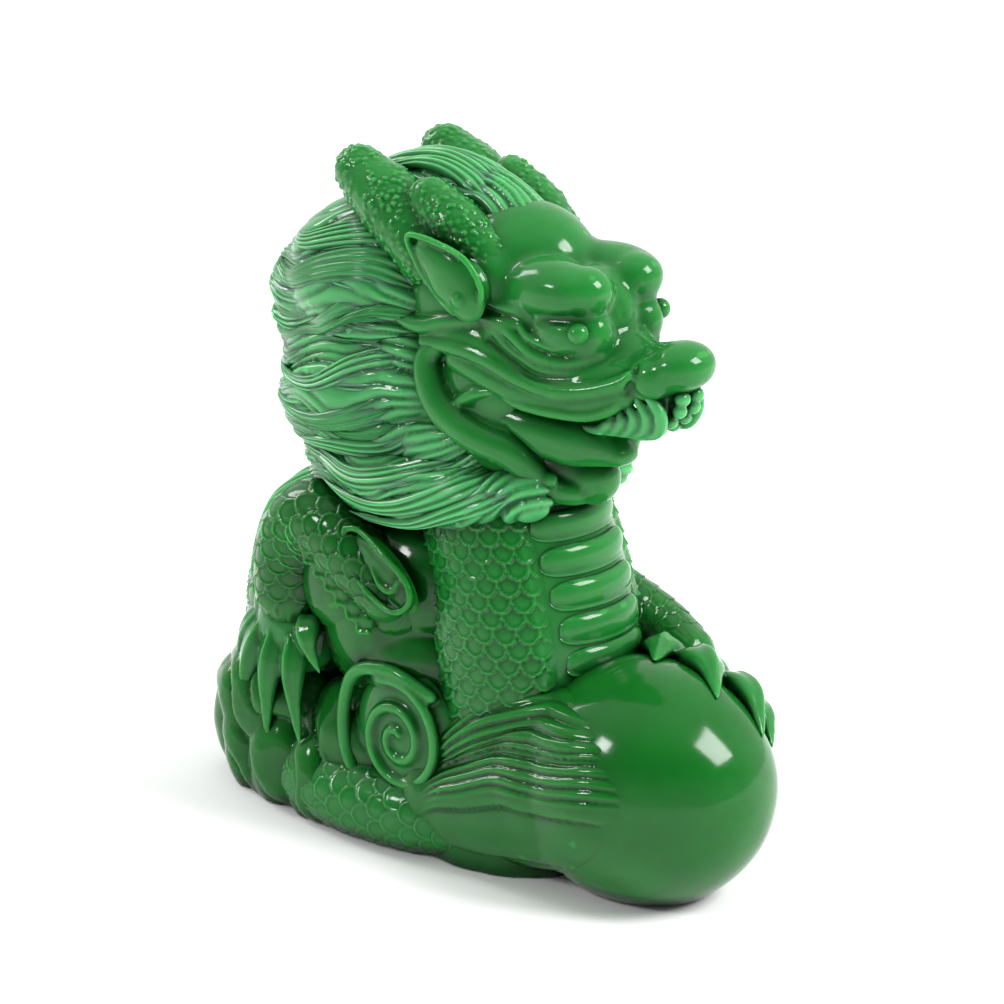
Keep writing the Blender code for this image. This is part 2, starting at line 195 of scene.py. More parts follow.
def pressed(mesh, relief):
    """Moves each vertex along its normal by relief(places, normals), in millimetres."""
    places, normals = rows_of(mesh)
    places += normals * relief(places, normals)[:, None]
    mesh.vertices.foreach_set("co", places.ravel())
    mesh.update()
    return mesh


def finish_piece(name, source, finish, *nodes):
    """Scales a piece to metres, gives it its finish, and lets it stand for its castings."""
    if isinstance(source, bmesh.types.BMesh):
        bmesh.ops.recalc_face_normals(source, faces=source.faces)
        mesh = bpy.data.meshes.new(name)
        source.to_mesh(mesh)
        source.free()
    else:
        mesh = source
        mesh.name = name
    mesh.transform(Matrix.Scale(MM, 4))
    mesh.shade_smooth()
    mesh.materials.clear()
    mesh.materials.append(finish)
    piece = bpy.data.objects.new(name, mesh)
    bpy.context.scene.collection.objects.link(piece)
    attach(piece, "root")
    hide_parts(*nodes)
    triangles = sum(len(p.vertices) - 2 for p in mesh.polygons)
    print(f"{name}: {triangles} triangles")


# %% [markdown]
# ## The glass
# The finish is taken to be imitation jade: glass clouded with fine crystals, cast in a mould and polished.
# Light goes in, scatters and comes back green, and the polished skin adds sharp white reflections.
# Subsurface scattering gives the depth, and a low roughness gives the gloss. Thick parts swallow more light
# and look darker, so there are three strengths of it.

# %% Cast jade glass
def linear(code):
    """An sRGB hex colour as linear red, green, blue and alpha."""
    parts = [int(code[i:i + 2], 16) / 255 for i in (0, 2, 4)]
    return (*[c / 12.92 if c <= 0.04045 else ((c + 0.055) / 1.055) ** 2.4 for c in parts], 1.0)


def add_node(owner, kind, links=(), **settings):
    """Adds a node to a material or a world, with its settings and its links: (input, node, output)."""
    node = owner.node_tree.nodes.new(kind)
    for key, value in settings.items():
        if key in node.inputs:
            node.inputs[key].default_value = value
        else:
            setattr(node, key, value)
    for target, source, output in links:
        owner.node_tree.links.new(source.outputs[output], node.inputs[target])
    return node


DRIFT_MM = 7  # how far apart the drifts of crystals lie
SPECK_MM = 0.35  # single crystals, drawn coarser than they are so that they show
FOLD_MM = 3.0  # how deep a fold is that light hardly reaches
FOLD_SHADE = 0.35  # how much of the colour is left down there
POLISH = 0.07  # roughness of the polished skin


def cast_jade(name, thick, thin, cloud, depth_mm):
    """Clouded glass. thick and thin are its colours in hollows and on edges, cloud that of its crystals. The
    thin colour on edges is painted light: the glow of light through thin glass.
    """
    material = bpy.data.materials.new(name)
    material.use_nodes = True
    shader = material.node_tree.nodes["Principled BSDF"]
    place = add_node(material, "ShaderNodeTexCoord")
    # drifts of crystals make the colour wander
    drifts = add_node(material, "ShaderNodeTexNoise", [("Vector", place, "Object")],
                      Scale=1 / (DRIFT_MM * MM), Detail=3.0, Roughness=0.55)
    # single crystals dull the polish here and there
    specks = add_node(material, "ShaderNodeTexNoise", [("Vector", place, "Object")],
                      Scale=1 / (SPECK_MM * MM), Detail=2.0)
    # painted light: pointy edges are made lighter, towards the thin colour, as a painted glow of light
    # through thin glass
    edges = add_node(material, "ShaderNodeNewGeometry")
    painted_edge_glow_and_grain_wear = add_node(material, "ShaderNodeMapRange", [("Value", edges, "Pointiness")],
                    **{"From Min": 0.47, "From Max": 0.56})
    # light reaches less into folds, so the glass is darker there
    folds = add_node(material, "ShaderNodeAmbientOcclusion", samples=4, Distance=FOLD_MM * MM)
    open_share = add_node(material, "ShaderNodeMapRange", [("Value", folds, "AO")],
                          **{"From Min": 0.35, "From Max": 0.95})
    drift_share = add_node(material, "ShaderNodeMapRange", [("Value", drifts, "Fac")],
                           **{"From Min": 0.40, "From Max": 0.68, "To Min": 0.35})
    clouded = add_node(material, "ShaderNodeMix", [("Factor", drift_share, "Result")],
                       data_type="RGBA", A=linear(thick), B=linear(cloud))
    # the painted edge glow is mixed in here
    lit = add_node(material, "ShaderNodeMix", [("Factor", painted_edge_glow_and_grain_wear, "Result"), ("A", clouded, "Result")],
                   data_type="RGBA", B=linear(thin))
    deep = add_node(material, "ShaderNodeMix", [("Factor", open_share, "Result"), ("B", lit, "Result")],
                    data_type="RGBA", A=[FOLD_SHADE * c for c in linear(thick)[:3]] + [1])
    material.node_tree.links.new(deep.outputs["Result"], shader.inputs["Base Color"])
    polish = add_node(material, "ShaderNodeMapRange", [("Value", specks, "Fac")],
                      **{"To Min": POLISH, "To Max": POLISH + 0.10})
    material.node_tree.links.new(polish.outputs["Result"], shader.inputs["Roughness"])
    for key, value in {"IOR": 1.5, "Specular IOR Level": 0.27, "Subsurface Weight": 0.7,
                       "Subsurface Radius": (0.25, 1.0, 0.35), "Subsurface Scale": depth_mm * MM}.items():
        shader.inputs[key].default_value = value
    print(name, "scatters over", depth_mm, "mm")
    return material


deep_jade = cast_jade("deep_cast_jade", "053f10", "1c7828", "0d5819", 2.5)
clear_jade = cast_jade("mid_cast_jade", "075016", "2f8c3f", "136a24", 2.0)
pale_jade = cast_jade("pale_cast_jade", "0f5e25", "58b16c", "288442", 2.0)


# %% [markdown]
# ## Overlapping scales
# Each scale is a tongue that hangs over the row below, rising towards its rounded free edge and then
# dropping. The same small function serves the neck, the coil, the forelegs and the tail: it takes a place
# measured along and across, in mm.

# %% The height of a scaled skin
SCALE_LAP = 1.75  # how many rows a scale reaches over


def scale_height(along, across, pitch, width, rise=0.55):
    """Height of lapped scales at distances along (towards the free edges) and across, in mm."""
    height = np.zeros(np.shape(along))
    row = np.floor(along / pitch)
    for back in (0, 1, 2):
        start = (row - back) * pitch
        shift = np.where((row - back) % 2 == 0, 0.0, width / 2)
        x = (across + shift + width / 2) % width - width / 2
        y = along - start
        reach = pitch * SCALE_LAP
        straight = reach - width * 0.5
        edge = np.where(y < straight, np.abs(x) / (width * 0.52),
                        np.hypot(x / (width * 0.52), np.maximum(y - straight, 0) / (width * 0.5)))
        inside = (edge < 1) & (y >= 0)
        slope = rise * (0.25 + 0.75 * np.clip(y / reach, 0, 1))
        rim = 0.5 * rise * np.exp(-((1 - edge) / 0.17) ** 2)
        crown = 0.12 * (1 - np.clip(edge, 0, 1) ** 2)
        height = np.where(inside, slope + rim + crown, height)
    return height


# %% [markdown]
# ## The pearl and the cloud base
# The pearl is a ball a little longer than it is wide. It is cut flat where it stands, and very slightly
# uneven, as a hand-finished casting is. The base is rock-like cloud: heaped balls wrapped in one skin, with
# deep folds at the rear.

# %% The flaming pearl
def uneven(size_mm, depth_mm):
    """Slow, shallow unevenness for a hand-finished surface."""
    def relief(places, normals):
        return np.array([noise.noise(Vector(p) / size_mm) for p in places]) * depth_mm
    return relief


def stand_flat(bm):
    """Cuts away what lies below the table and closes the foot."""
    cut = bmesh.ops.bisect_plane(bm, geom=bm.verts[:] + bm.edges[:] + bm.faces[:], plane_co=(0, 0, 0),
                                 plane_no=(0, 0, 1), clear_inner=True)
    rim = [e for e in cut["geom_cut"] if isinstance(e, bmesh.types.BMEdge)]
    bmesh.ops.holes_fill(bm, edges=rim, sides=0)


def grounded(mesh):
    """The mesh as a bmesh, cut flat where it stands."""
    bm = bmesh.new()
    bm.from_mesh(mesh)
    stand_flat(bm)
    return bm


clay = bmesh.new()
ball(clay, PEARL, PEARL_RADII, fine=160)
mesh = bpy.data.meshes.new("pearl")
clay.to_mesh(mesh)
clay.free()
finish_piece("flaming_pearl_glass", grounded(pressed(mesh, uneven(9.0, 0.28))), deep_jade, "flaming_pearl")

# %% Slow noise
def drift(places, size_mm, seed=0.0):
    """Slow noise, one value a vertex, between about -1 and 1."""
    shift = Vector((seed, 2 * seed, -seed))
    return np.array([noise.noise(Vector(p) / size_mm + shift) for p in places])


# %% The cloud base
base_low, base_high = box_mm("cloud_base")
BASE_Y = (base_low.y + base_high.y) / 2
REAR = base_low.x + 1.4
clay = bmesh.new()
ball(clay, (REAR + 12.5, BASE_Y, 9.5), (14.0, 13.0, 9.5))
ball(clay, (REAR + 16, BASE_Y, 4), (14, 13.5, 12))
ball(clay, (REAR + 28, BASE_Y, 2.5), (16, 14, 12))
ball(clay, (REAR + 44.6, BASE_Y + 0.5, 2), (14, 13, 12))
for side in (-1, 1):
    ball(clay, (REAR + 12.0, BASE_Y + side * 6.5, 11.5), (10.5, 7.4, 8.6))
    ball(clay, (REAR + 26.0, BASE_Y + side * 7.0, 9.0), (10.5, 6.0, 9.0))
for side in (-1, 1):
    for back, out, tall, wide in ((4.4, 5.0, 7.0, 5.4), (9.0, 8.2, 6.4, 5.6), (15.0, 9.8, 5.4, 5.4),
                                  (22.0, 10.4, 4.6, 5.2), (29.0, 10.6, 3.6, 5.0)):
        ball(clay, (REAR + back, BASE_Y + side * out, tall), (wide, wide * 0.9, tall + 2.4),
             (0, 0, side * 20), fine=40)


def curled(places, normals):
    """Swirling cloud folds: lapped ridges that wander along the flanks, deepest at the rear."""
    wander = places[:, 0] * 0.75 + places[:, 2] * 0.55 + 3.4 * drift(places, 7.0, 6.0)
    f = (wander / 5.2) % 1.0
    lap = np.sqrt(np.clip(1 - (2 * f ** 0.55 - 1) ** 2, 0, 1))
    rear = np.clip((REAR + 34 - places[:, 0]) / 10, 0, 1) * np.clip(1 - normals[:, 2] ** 2, 0, 1)
    return rear * (1.1 * lap - 0.5)


mesh = pressed(pressed(wrapped(clay, 0.36, rounds=8), curled), uneven(4.0, 0.35))
finish_piece("cloud_base_glass", grounded(mesh), deep_jade, "cloud_base")


# %% [markdown]
# ## The neck, its scales and its belly plates
# The neck rises from the base as a thick column, scaled at the sides, with broad plates down its front.
# Scales could be set on one by one, but hundreds of loose ones never make a closed skin. Here a grid is
# rolled round the column and each of its points is lifted by the scale function, so the skin stays in one
# piece. The plates are short lofts bent round the front.

# %% The scaled neck
NECK = [(8.5, 0, 6.4, 12.2), (8.6, 0, 24.3, 12.2), (6.8, 0, 34.6, 11.8), (3.6, 0, 46.1, 10.6),
        (0.5, 0, 57.6, 8.8)]


def neck_at(height):
    """The column's middle x and its radius at a height."""
    rows = line(NECK, 200)
    return [float(np.interp(height, rows[:, 2], rows[:, k])) for k in (0, 3)]


NECK_RINGS, NECK_AROUND = 240, 330
SCALE_COLUMNS, SCALE_PITCH, SCALE_WIDTH = 28, 1.8, 2.65


def scaled_neck():
    """The column with its skin of scales, left smooth in front, under the plates."""
    bm = bmesh.new()
    rows = line(NECK, NECK_RINGS)
    heights = np.linspace(NECK[0][2], NECK[-1][2], NECK_RINGS)
    centre = np.interp(heights, rows[:, 2], rows[:, 0])
    radius = np.interp(heights, rows[:, 2], rows[:, 3])
    verts = bmesh.ops.create_grid(bm, x_segments=NECK_RINGS - 1, y_segments=NECK_AROUND,
                                   size=1.0)["verts"]
    grid = np.array([v.co for v in verts])
    ring = np.rint((grid[:, 0] * 0.5 + 0.5) * (NECK_RINGS - 1)).astype(int)
    angle = grid[:, 1] * pi
    around = angle / tau * SCALE_COLUMNS * SCALE_WIDTH
    wander = 0.35 * np.sin(angle * 3 + heights[ring] * 0.1)
    lift = scale_height(heights[-1] - heights[ring] + wander, around, SCALE_PITCH, SCALE_WIDTH)
    front = np.clip((np.cos(angle) - 0.70) / 0.08, 0, 1)
    reach = radius[ring] + lift * (1 - front)
    ends = (ring == 0) | (ring == NECK_RINGS - 1)
    reach = np.where(ends, 0, reach)
    for vert, r, a, j in zip(verts, reach, angle, ring):
        vert.co = (centre[j] + r * cos(a), r * sin(a), heights[j])
    bmesh.ops.remove_doubles(bm, verts=verts, dist=0.002)
    return bm


finish_piece("neck_glass", scaled_neck(), clear_jade, "neck")

# %% The belly plates
def belly_plates(count=6, pitch=3.9):
    """Short lofts bent round the front of the neck, from the top down."""
    bm = bmesh.new()
    top = HEAD.z * 0.72
    for i in range(count):
        x, radius = neck_at(top - pitch * i)
        half = radians(43 - 1.8 * i)
        angles = np.linspace(-half, half, 40)
        ease = np.sqrt(np.clip(1 - np.abs(angles / half) ** 6, 0, 1))
        centres = np.array([(x + (radius - 0.35) * cos(a), (radius - 0.35) * sin(a),
                             top - pitch * i) for a in angles])
        out = np.array([(cos(a), sin(a), 0) for a in angles])
        loft(bm, centres, out, 2.05 * ease, 1.1 * ease + 0.001, 36, under=0.6,
             relief=lambda t, across, out: 0.28 * np.exp(-((across - 0.72) / 0.16) ** 2))
    return bm


finish_piece("belly_plates_glass", belly_plates(), clear_jade, "belly_plates")


# %% [markdown]
# ## The back coil
# Behind the neck the body turns in one low coil, smooth on its flanks and scaled at the rear. A plain bent
# tube would be too even, because the flanks swell and run into each other. So a tube and several balls are
# wrapped in one skin, and scales are then pressed into the rear of it.

# %% The coil and flanks
clay = bmesh.new()
tube(clay, [(-4, 2, 24, 10.0), (-13, 1, 29, 11.6), (-22.5, 0, 28, 11.4), (-25.5, 0, 15, 10.5)], rings=40,
     around=48)
ball(clay, (-4, 0, 22), (12, 14, 10.5))
ball(clay, (-9, -4.5, 27), (13, 9.6, 13.0))
ball(clay, (-9, 4.5, 27), (13, 9.6, 13.0))
for side in (-1, 1):
    ball(clay, (-5, side * 6.2, 32.0), (11.0, 7.4, 8.6))


def coil_scales(places, normals):
    """Lapped scales on the rear of the coil, smooth on the flanks."""
    dx, dz = places[:, 0] + 15, places[:, 2] - 20
    along = -15 * np.arctan2(dz, -dx)
    rear = np.clip((-16.5 - places[:, 0]) / 3.5, 0, 1)
    return rear * scale_height(along + 80, places[:, 1] + 60, 1.9, 2.9, rise=0.6)


mesh = pressed(pressed(wrapped(clay, 0.33, rounds=10), uneven(6.0, 0.35)), coil_scales)
coil_mesh = mesh.copy()
finish_piece("back_coil_glass", mesh, deep_jade, "body_coil")


# %% [markdown]
# ## The head
# The face is clay work: a skull, a heavy brow, lids, a long lip and a ball of a nose, all pressed into one
# skin. Every place is counted from the middle of the skull.

# %% Skull, brow and muzzle
def face(*points):
    """Points counted from the skull's middle, as world millimetres."""
    return [(p[0] + HEAD.x, p[1] + HEAD.y, p[2] + HEAD.z, *p[3:]) for p in points]


def both(points, bm, up, **extra):
    """The same tube on both sides of the head."""
    for side in (-1, 1):
        tube(bm, [(p[0], -side * p[1], *p[2:]) for p in points], up=(up[0], side * abs(up[1]), up[2]),
             **extra)


def joined(mesh):
    """Clay that starts from an earlier skin."""
    clay = bmesh.new()
    clay.from_mesh(mesh)
    bpy.data.meshes.remove(mesh)
    return clay


clay = bmesh.new()
ball(clay, HEAD + Vector((-3, 0, 3)), (12, 10.2, 11))
ball(clay, HEAD + Vector((2.0, 0, 7.2)), (9.6, 8.2, 8.0), fine=48)
ball(clay, HEAD + Vector((12.6, 0, 3.6)), (5.6, 5.0, 5.6))
tube(clay, face((8, 0, 0.5, 7.0), (15.5, 0, -1.4, 5.2), (21.0, 0, -1.9, 3.7), (24.5, 0, -1.0, 3.4)),
     rings=30, around=40)
ball(clay, HEAD + Vector((25.9, 0, -0.2)), (3.8, 4.3, 3.0), (0, -6, 0))
for side in (-1, 1):
    # heavy brow: one glossy pillow that runs forward into a boss
    ball(clay, HEAD + Vector((10.6, side * 5.0, 7.2)), (7.4, 4.3, 3.5), (0, -3, side * 6))
    ball(clay, HEAD + Vector((15.2, side * 4.4, 7.4)), (3.3, 3.4, 3.0))
    ball(clay, HEAD + Vector((1.0, side * 7.0, 6.6)), (6.0, 3.4, 5.2))
    ball(clay, HEAD + Vector((5.6, side * 6.6, 3.4)), (4.4, 3.1, 3.6))
    # the eye in its socket, the cheek below it, the side of the muzzle, the wing of the nostril
    ball(clay, HEAD + Vector((12.6, side * 5.9, 2.7)), (4.6, 2.6, 2.9), (0, 0, side * 12))
    ball(clay, HEAD + Vector((15.6, side * 4.4, 2.4)), (3.2, 2.9, 3.4))
    tube(clay, face((-4, side * 7.0, 0.6, 3.6), (3.5, side * 6.9, -0.6, 3.5), (9.5, side * 5.7, -2.6, 3.6),
                    (15.5, side * 4.3, -3.2, 3.4), (20, side * 2.9, -2.6, 2.9)), rings=30)
    ball(clay, HEAD + Vector((23.6, side * 3.3, -1.6)), (2.8, 2.0, 2.6))
clay = joined(wrapped(clay, 0.42, rounds=16))
both(face((-4.4, -9.9, -1.0, 0.9), (0.6, -9.8, -0.8, 1.1), (4.6, -9.5, -1.4, 1.1), (9.3, -8.8, -3.0, 1.1),
          (13.6, -7.9, -3.8, 1.1), (17.4, -6.8, -3.4, 1.0), (20.9, -5.6, -2.2, 1.0),
          (22.6, -5.0, -1.0, 0.8)),
     clay, (0.1, -1, -0.3), rings=60)
both(face((0, -8.6, -2.4, 1.9), (4.6, -8.4, -3.6, 2.0), (9.3, -7.6, -4.9, 1.9), (13.6, -6.7, -5.3, 1.8),
          (17.4, -5.6, -4.9, 1.8), (20.9, -4.4, -3.6, 1.7)),
     clay, (0.1, -1, -0.3), rings=60)
both(face((6.4, -9.0, -5.6, 0.5), (9.6, -8.8, -6.1, 0.7), (13.4, -8.0, -6.3, 0.8), (17.4, -6.8, -6.2, 0.8),
          (20.4, -5.7, -5.0, 0.8), (21.6, -5.0, -3.2, 0.7)),
     clay, (0.1, -1, -0.3), rings=60)
both(face((0.6, -9.0, 3.2, 0.6), (4.2, -8.9, 3.4, 0.8), (7.4, -8.5, 2.2, 0.9), (10.4, -8.0, 0.1, 0.9),
          (13.7, -7.2, -0.6, 0.85),
          (16.2, -6.2, -0.2, 0.7), (18.2, -4.8, 0.6, 0.4)), clay, (0.1, -1, 0), rings=50)
both(face((8.4, -8.4, 3.6, 0.4), (10.2, -8.3, 2.0, 0.5), (13.2, -7.8, 1.2, 0.5), (15.8, -6.9, 1.4, 0.45),
          (17.4, -5.6, 2.4, 0.3)),
     clay, (0.1, -1, 0), rings=40)
both(face((-9.3, -9.8, 1.4, 0.9), (-5.1, -10.2, 0.9, 1.0), (-1, -9.9, 2.0, 0.9), (3.0, -9.4, 2.8, 0.6)),
     clay, (0, -1, 0.3), rings=40)
mesh = wrapped(clay, 0.25, rounds=4)


def groove_along(points, depth, width):
    """Presses a groove of that depth and half width along a smooth line, on both sides of the head."""
    path = line(points, 120)[:, :3]
    def relief(places, normals):
        folded = places.copy()
        folded[:, 1] = -np.abs(folded[:, 1])
        near = np.full(len(folded), 1e9)
        for point in path:
            near = np.minimum(near, ((folded - point) ** 2).sum(1))
        return -depth * np.exp(-near / width ** 2)
    return relief


for points, depth, width in (
        (face((5.4, -9.8, 1.0), (8.6, -9.4, -0.8), (11.6, -9.0, -2.1), (14.8, -8.2, -2.0),
              (17.6, -7.4, -0.8), (19.6, -6.0, 1.2)), 0.6, 0.5),
        (face((2.4, -9.8, 4.6), (8.1, -9.2, 4.1), (12.6, -8.6, 4.5), (16.3, -7.6, 4.9), (18.6, -6.0, 5.0)),
         0.7, 0.55),
        (face((17.6, -1.4, 9.2), (18.4, -1.2, 7.0), (18.6, -1.0, 4.6)), 0.5, 0.5),
        (face((22.4, -4.4, 1.8), (23.0, -5.0, -0.4), (22.8, -5.4, -2.4), (24.2, -5.0, -3.8)), 0.45, 0.5)):
    mesh = pressed(mesh, groove_along(points, depth, width))
finish_piece("head_glass", mesh, clear_jade, "head")

# %% Eyes
for side, word in ((-1, "right"), (1, "left")):
    clay = bmesh.new()
    ball(clay, HEAD + Vector((16.6, side * 7.2, 3.3)), (1.25, 1.25, 1.25), fine=40)
    finish_piece(f"eye_{word}_glass", clay, clear_jade, f"eye_{word}")

# %% [markdown]
# ## The open mouth
# The lower jaw hangs under the head, with a rolled lip along its edge, the lining of the cheeks above it
# and the tongue between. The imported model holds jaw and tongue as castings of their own, so each gets its
# own skin.

# %% Lower jaw and lip
clay = bmesh.new()
tube(clay, face((-1, 0, -11, 8.4), (6, 0, -14, 7.0), (10.2, 0, -15.6, 5.0), (12.8, 0, -16.2, 3.4)),
     rings=40, around=40)
for side in (-1, 1):
    # lining of the cheek between the lips
    ball(clay, HEAD + Vector((1.8, side * 7.4, -5.6)), (6.6, 2.7, 5.4))
    ball(clay, HEAD + Vector((3.4, side * 6.4, -11.6)), (7.2, 4.2, 4.4), (0, 20, 0))
clay = joined(wrapped(clay, 0.45, rounds=8))
both(face((-1.8, -9.6, -0.6, 0.9), (-4.0, -9.8, -2.8, 1.6), (-3.4, -10.0, -6.0, 2.0),
          (-0.8, -10.1, -8.9, 2.1), (3.4, -9.7, -10.9, 2.1),
          (7.4, -8.6, -12.2, 2.0), (9.2, -7.2, -14.4, 1.8), (10.4, -5.4, -16.6, 1.6),
          (12.4, -3.0, -17.6, 1.4), (13.4, 0, -17.6, 1.3)),
     clay, (0.1, -1, 0), rings=80)
for side in (-1, 1):
    ball(clay, HEAD + Vector((11.4, side * 6.0, -15.4)), (1.0, 1.0, 1.0))
    tube(clay, face((5.4, side * 9.6, -5.2, 0.5), (3.2, side * 9.9, -5.9, 0.8),
                    (1.0, side * 10.1, -7.4, 0.7), (0.4, side * 10.1, -9.0, 0.3)), rings=20, around=14)
mesh = wrapped(clay, 0.27, rounds=3)
finish_piece("lower_jaw_glass", mesh, clear_jade, "lower_jaw")

# %% Tongue
clay = bmesh.new()
tube(clay, face((4, 0, -9.4, 5.0), (10, 0, -10.4, 5.0), (14.0, 0, -11.2, 4.0), (16.6, 0, -12.2, 2.2)),
     up=(0.2, 0, 1), flat=0.75, rings=40, around=48)
for side in (-1, 1):
    tube(clay, face((4.5, side * 6.0, -9.2, 3.2), (9.5, side * 5.2, -10.0, 3.2),
                    (13.6, side * 3.4, -11.0, 3.0), (17.2, side * 1.0, -12.6, 1.3)), up=(0.2, 0, 1),
                    rings=30)
mesh = pressed(wrapped(clay, 0.35, rounds=6),
               groove_along(face((6.8, -8.5, -9.5), (9.5, -7.8, -12.2), (11.7, -6.2, -15.7)), 0.6, 0.5))
finish_piece("tongue_glass", mesh, clear_jade, "tongue")

# %% [markdown]
# ## Whiskers, ears and horns
# Under the nose sit rows of small curls, which are bent tubes and balls. An ear is a leaf with a raised
# rim: a tube runs round its outline over a flattened one that fills it. The horns are thick and blunt, and
# their skin is grained. The grain is real geometry, pressed in from a cell pattern, so that it also shows
# in the outline.

# %% Whiskers and the curls under the nose
clay = bmesh.new()
for side in (-1, 1):
    for i in range(5):
        s = i / 4
        tube(clay, face((24.0 - 1.2 * i, side * (3.9 + 0.12 * i), -3.0 - 0.9 * i, 0.55),
                        (25.6 - 1.7 * i, side * (3.3 + 0.25 * i), -5.4 - 0.5 * i, 0.8),
                        (24.6 - 1.9 * i, side * (2.8 + 0.3 * i), -7.8 - 0.2 * i, 0.7),
                        (21.6 - 1.9 * i, side * (3.0 + 0.3 * i), -8.8, 0.35)),
             up=(0.3, side, 0), rings=30, around=14)
    for x, z, r in ((27.4, -3.6, 0.95), (27.0, -5.1, 0.9), (25.8, -6.6, 0.85), (24.2, -7.9, 0.8)):
        ball(clay, HEAD + Vector((x - 0.4, side * 1.2, z)), (r, r * 1.1, r), fine=20)
tube(clay, face((23.0, 0, -3.5, 3.0), (22.5, 0, -6.0, 2.6), (20.6, 0, -8.4, 1.8)), rings=20, around=24)
finish_piece("whiskers_glass", wrapped(clay, 0.22, rounds=3), pale_jade, "nose_whiskers")

# %% Ears
for side, word in ((-1, "right"), (1, "left")):
    clay = bmesh.new()
    away = Vector((0, 0, 0)) if side < 0 else Vector((-4.5, -0.9, -1.4))
    outline = [(4.3, 11.4, 3.8), (0.8, 11.5, 3.8), (-2.5, 11.9, 6.6), (-4.2, 12.4, 9.4),
               (-5.0, 12.6, 12.0), (-0.4, 12.6, 11.8), (3.8, 12.4, 10.4), (5.6, 11.8, 7.0),
               (4.3, 11.4, 3.8)]
    tube(clay, face(*[(x, side * (y - 0.5), z, 0.42) for x, y, z in outline]), up=(0, side, 0), rings=90,
         around=14)
    tube(clay, face((3.0, side * 10.8, 5.4, 2.6), (0.4, side * 10.9, 8.0, 3.3),
                    (-2.6, side * 11.3, 10.2, 1.9)), up=(0, side, 0), flat=0.5, rings=24)
    ball(clay, HEAD + Vector((1.6, side * 9.6, 6.6)), (3.6, 2.4, 3.4))
    ball(clay, HEAD + Vector((2.6, side * 11.9, 5.6)), (1.0, 0.7, 1.0))
    bmesh.ops.translate(clay, verts=clay.verts, vec=away)
    finish_piece(f"ear_{word}_glass", wrapped(clay, 0.24, rounds=5), clear_jade, f"ear_{word}")

# %% Horns, grained like sharkskin
def grains(size_mm, depth_mm):
    """Low round grains, irregular in height, that fade in and out over a few millimetres."""
    def relief(places, normals):
        near = np.array([noise.voronoi(Vector(p) / size_mm)[0][0] for p in places])
        painted_edge_glow_and_grain_wear = np.clip(0.75 + 0.9 * np.array([noise.noise(Vector(p) / 2.2) for p in places]), 0.1, 1.3)
        return depth_mm * painted_edge_glow_and_grain_wear * np.clip(1 - (near / 0.5) ** 2, 0, 1)
    return relief


for side, word in ((-1, "right"), (1, "left")):
    clay = bmesh.new()
    tube(clay, face((2.6, side * 6.0, 8.6, 3.3), (-2.2, side * 6.8, 12.4, 3.3),
                    (-6.2, side * 6.9, 15.0, 2.7)), rings=30, around=40)
    tube(clay, face((-6.0, side * 7.3, 9.2, 4.3), (-12.2, side * 7.4, 13.8, 4.1),
                    (-17.0, side * 7.4, 16.8, 3.1)), rings=30, around=40)
    tube(clay, face((3, side * 6.6, 8.2, 3.0), (-6, side * 6.8, 7.6, 3.6)), rings=20, around=30)
    mesh = pressed(wrapped(clay, 0.2, rounds=6), grains(0.85, 0.24))
    finish_piece(f"horn_{word}_glass", mesh, clear_jade, f"horn_{word}")


# %% [markdown]
# ## The mane
# The mane is combed, not scattered. A few guide lines are drawn in the side view, from the rim of the face
# to the back of the head. Locks follow the space between the guides, and each is laid onto the clay under
# the hair by looking straight in from the side until the clay is met.

# %% Clay under the mane and the crest
clay = bmesh.new()
for side in (-1, 1):
    ball(clay, HEAD + Vector((-16.5, side * 4.6, 3.2)), (12.0, 7.8, 9.4))
    ball(clay, HEAD + Vector((-24.5, side * 3.6, -0.5)), (8.6, 6.0, 8.0))
    ball(clay, HEAD + Vector((-16.0, side * 5.0, -10)), (14, 8.4, 10.2))
    ball(clay, HEAD + Vector((-9.5, side * 6.5, -8)), (6.6, 5.4, 8))
    tube(clay, face((-22, side * 5.6, -19, 4.0), (-12, side * 9.8, -19.6, 3.8),
                    (0, side * 9.6, -18.8, 3.4), (9, side * 7.0, -17.4, 2.4)))
    ball(clay, HEAD + Vector((-3.0, side * 6.2, -14.0)), (8.4, 5.0, 6.4), (0, 24, 0))
under_hair = wrapped(clay, 0.28, rounds=42)
clay = bmesh.new()
tube(clay, face((1.5, 0, 10.8, 4.4), (-4, 0, 12.8, 4.9), (-10.5, 0, 13.4, 5.1), (-17, 0, 11.0, 5.2),
                (-21.5, 0, 7.0, 4.2), (-23.5, 0, 1.0, 3.0), (-23.0, 0, -6.0, 2.4)), rings=50, around=40)
under_crest = wrapped(clay, 0.26, rounds=12)


def skin_of(*meshes):
    """A search tree over the faces of some meshes."""
    places, faces = [], []
    for mesh in meshes:
        faces += [[i + len(places) for i in p.vertices] for p in mesh.polygons]
        places += [v.co.copy() for v in mesh.vertices]
    return BVHTree.FromPolygons(places, faces)


core = skin_of(under_hair, under_crest)


# %% Laying lines onto clay
def laid(starts, aims, surface=core):
    """Where rays from starts towards aims first meet the clay, and the outward directions there."""
    places, outs = [], []
    for start, aim in zip(starts, aims):
        start, aim = Vector(start), Vector(aim)
        hit, normal, _, _ = surface.ray_cast(start, (aim - start).normalized())
        if hit is None:
            hit, normal, _, _ = surface.find_nearest(aim)
        places.append(hit)
        outs.append(normal)
    return np.array([p[:] for p in places]), np.array([n[:] for n in outs])


def from_side(points, side):
    """Side-view places laid onto the clay from that side."""
    return laid([(x, side * 40, z) for x, z in points], [(x, 0, z) for x, z in points])


def softened(rows, rounds=2):
    """Averages each row with its neighbours, and leaves both ends."""
    for _ in range(rounds):
        rows = np.vstack([rows[:1], (rows[:-2] + 2 * rows[1:-1] + rows[2:]) / 4, rows[-1:]])
    return rows


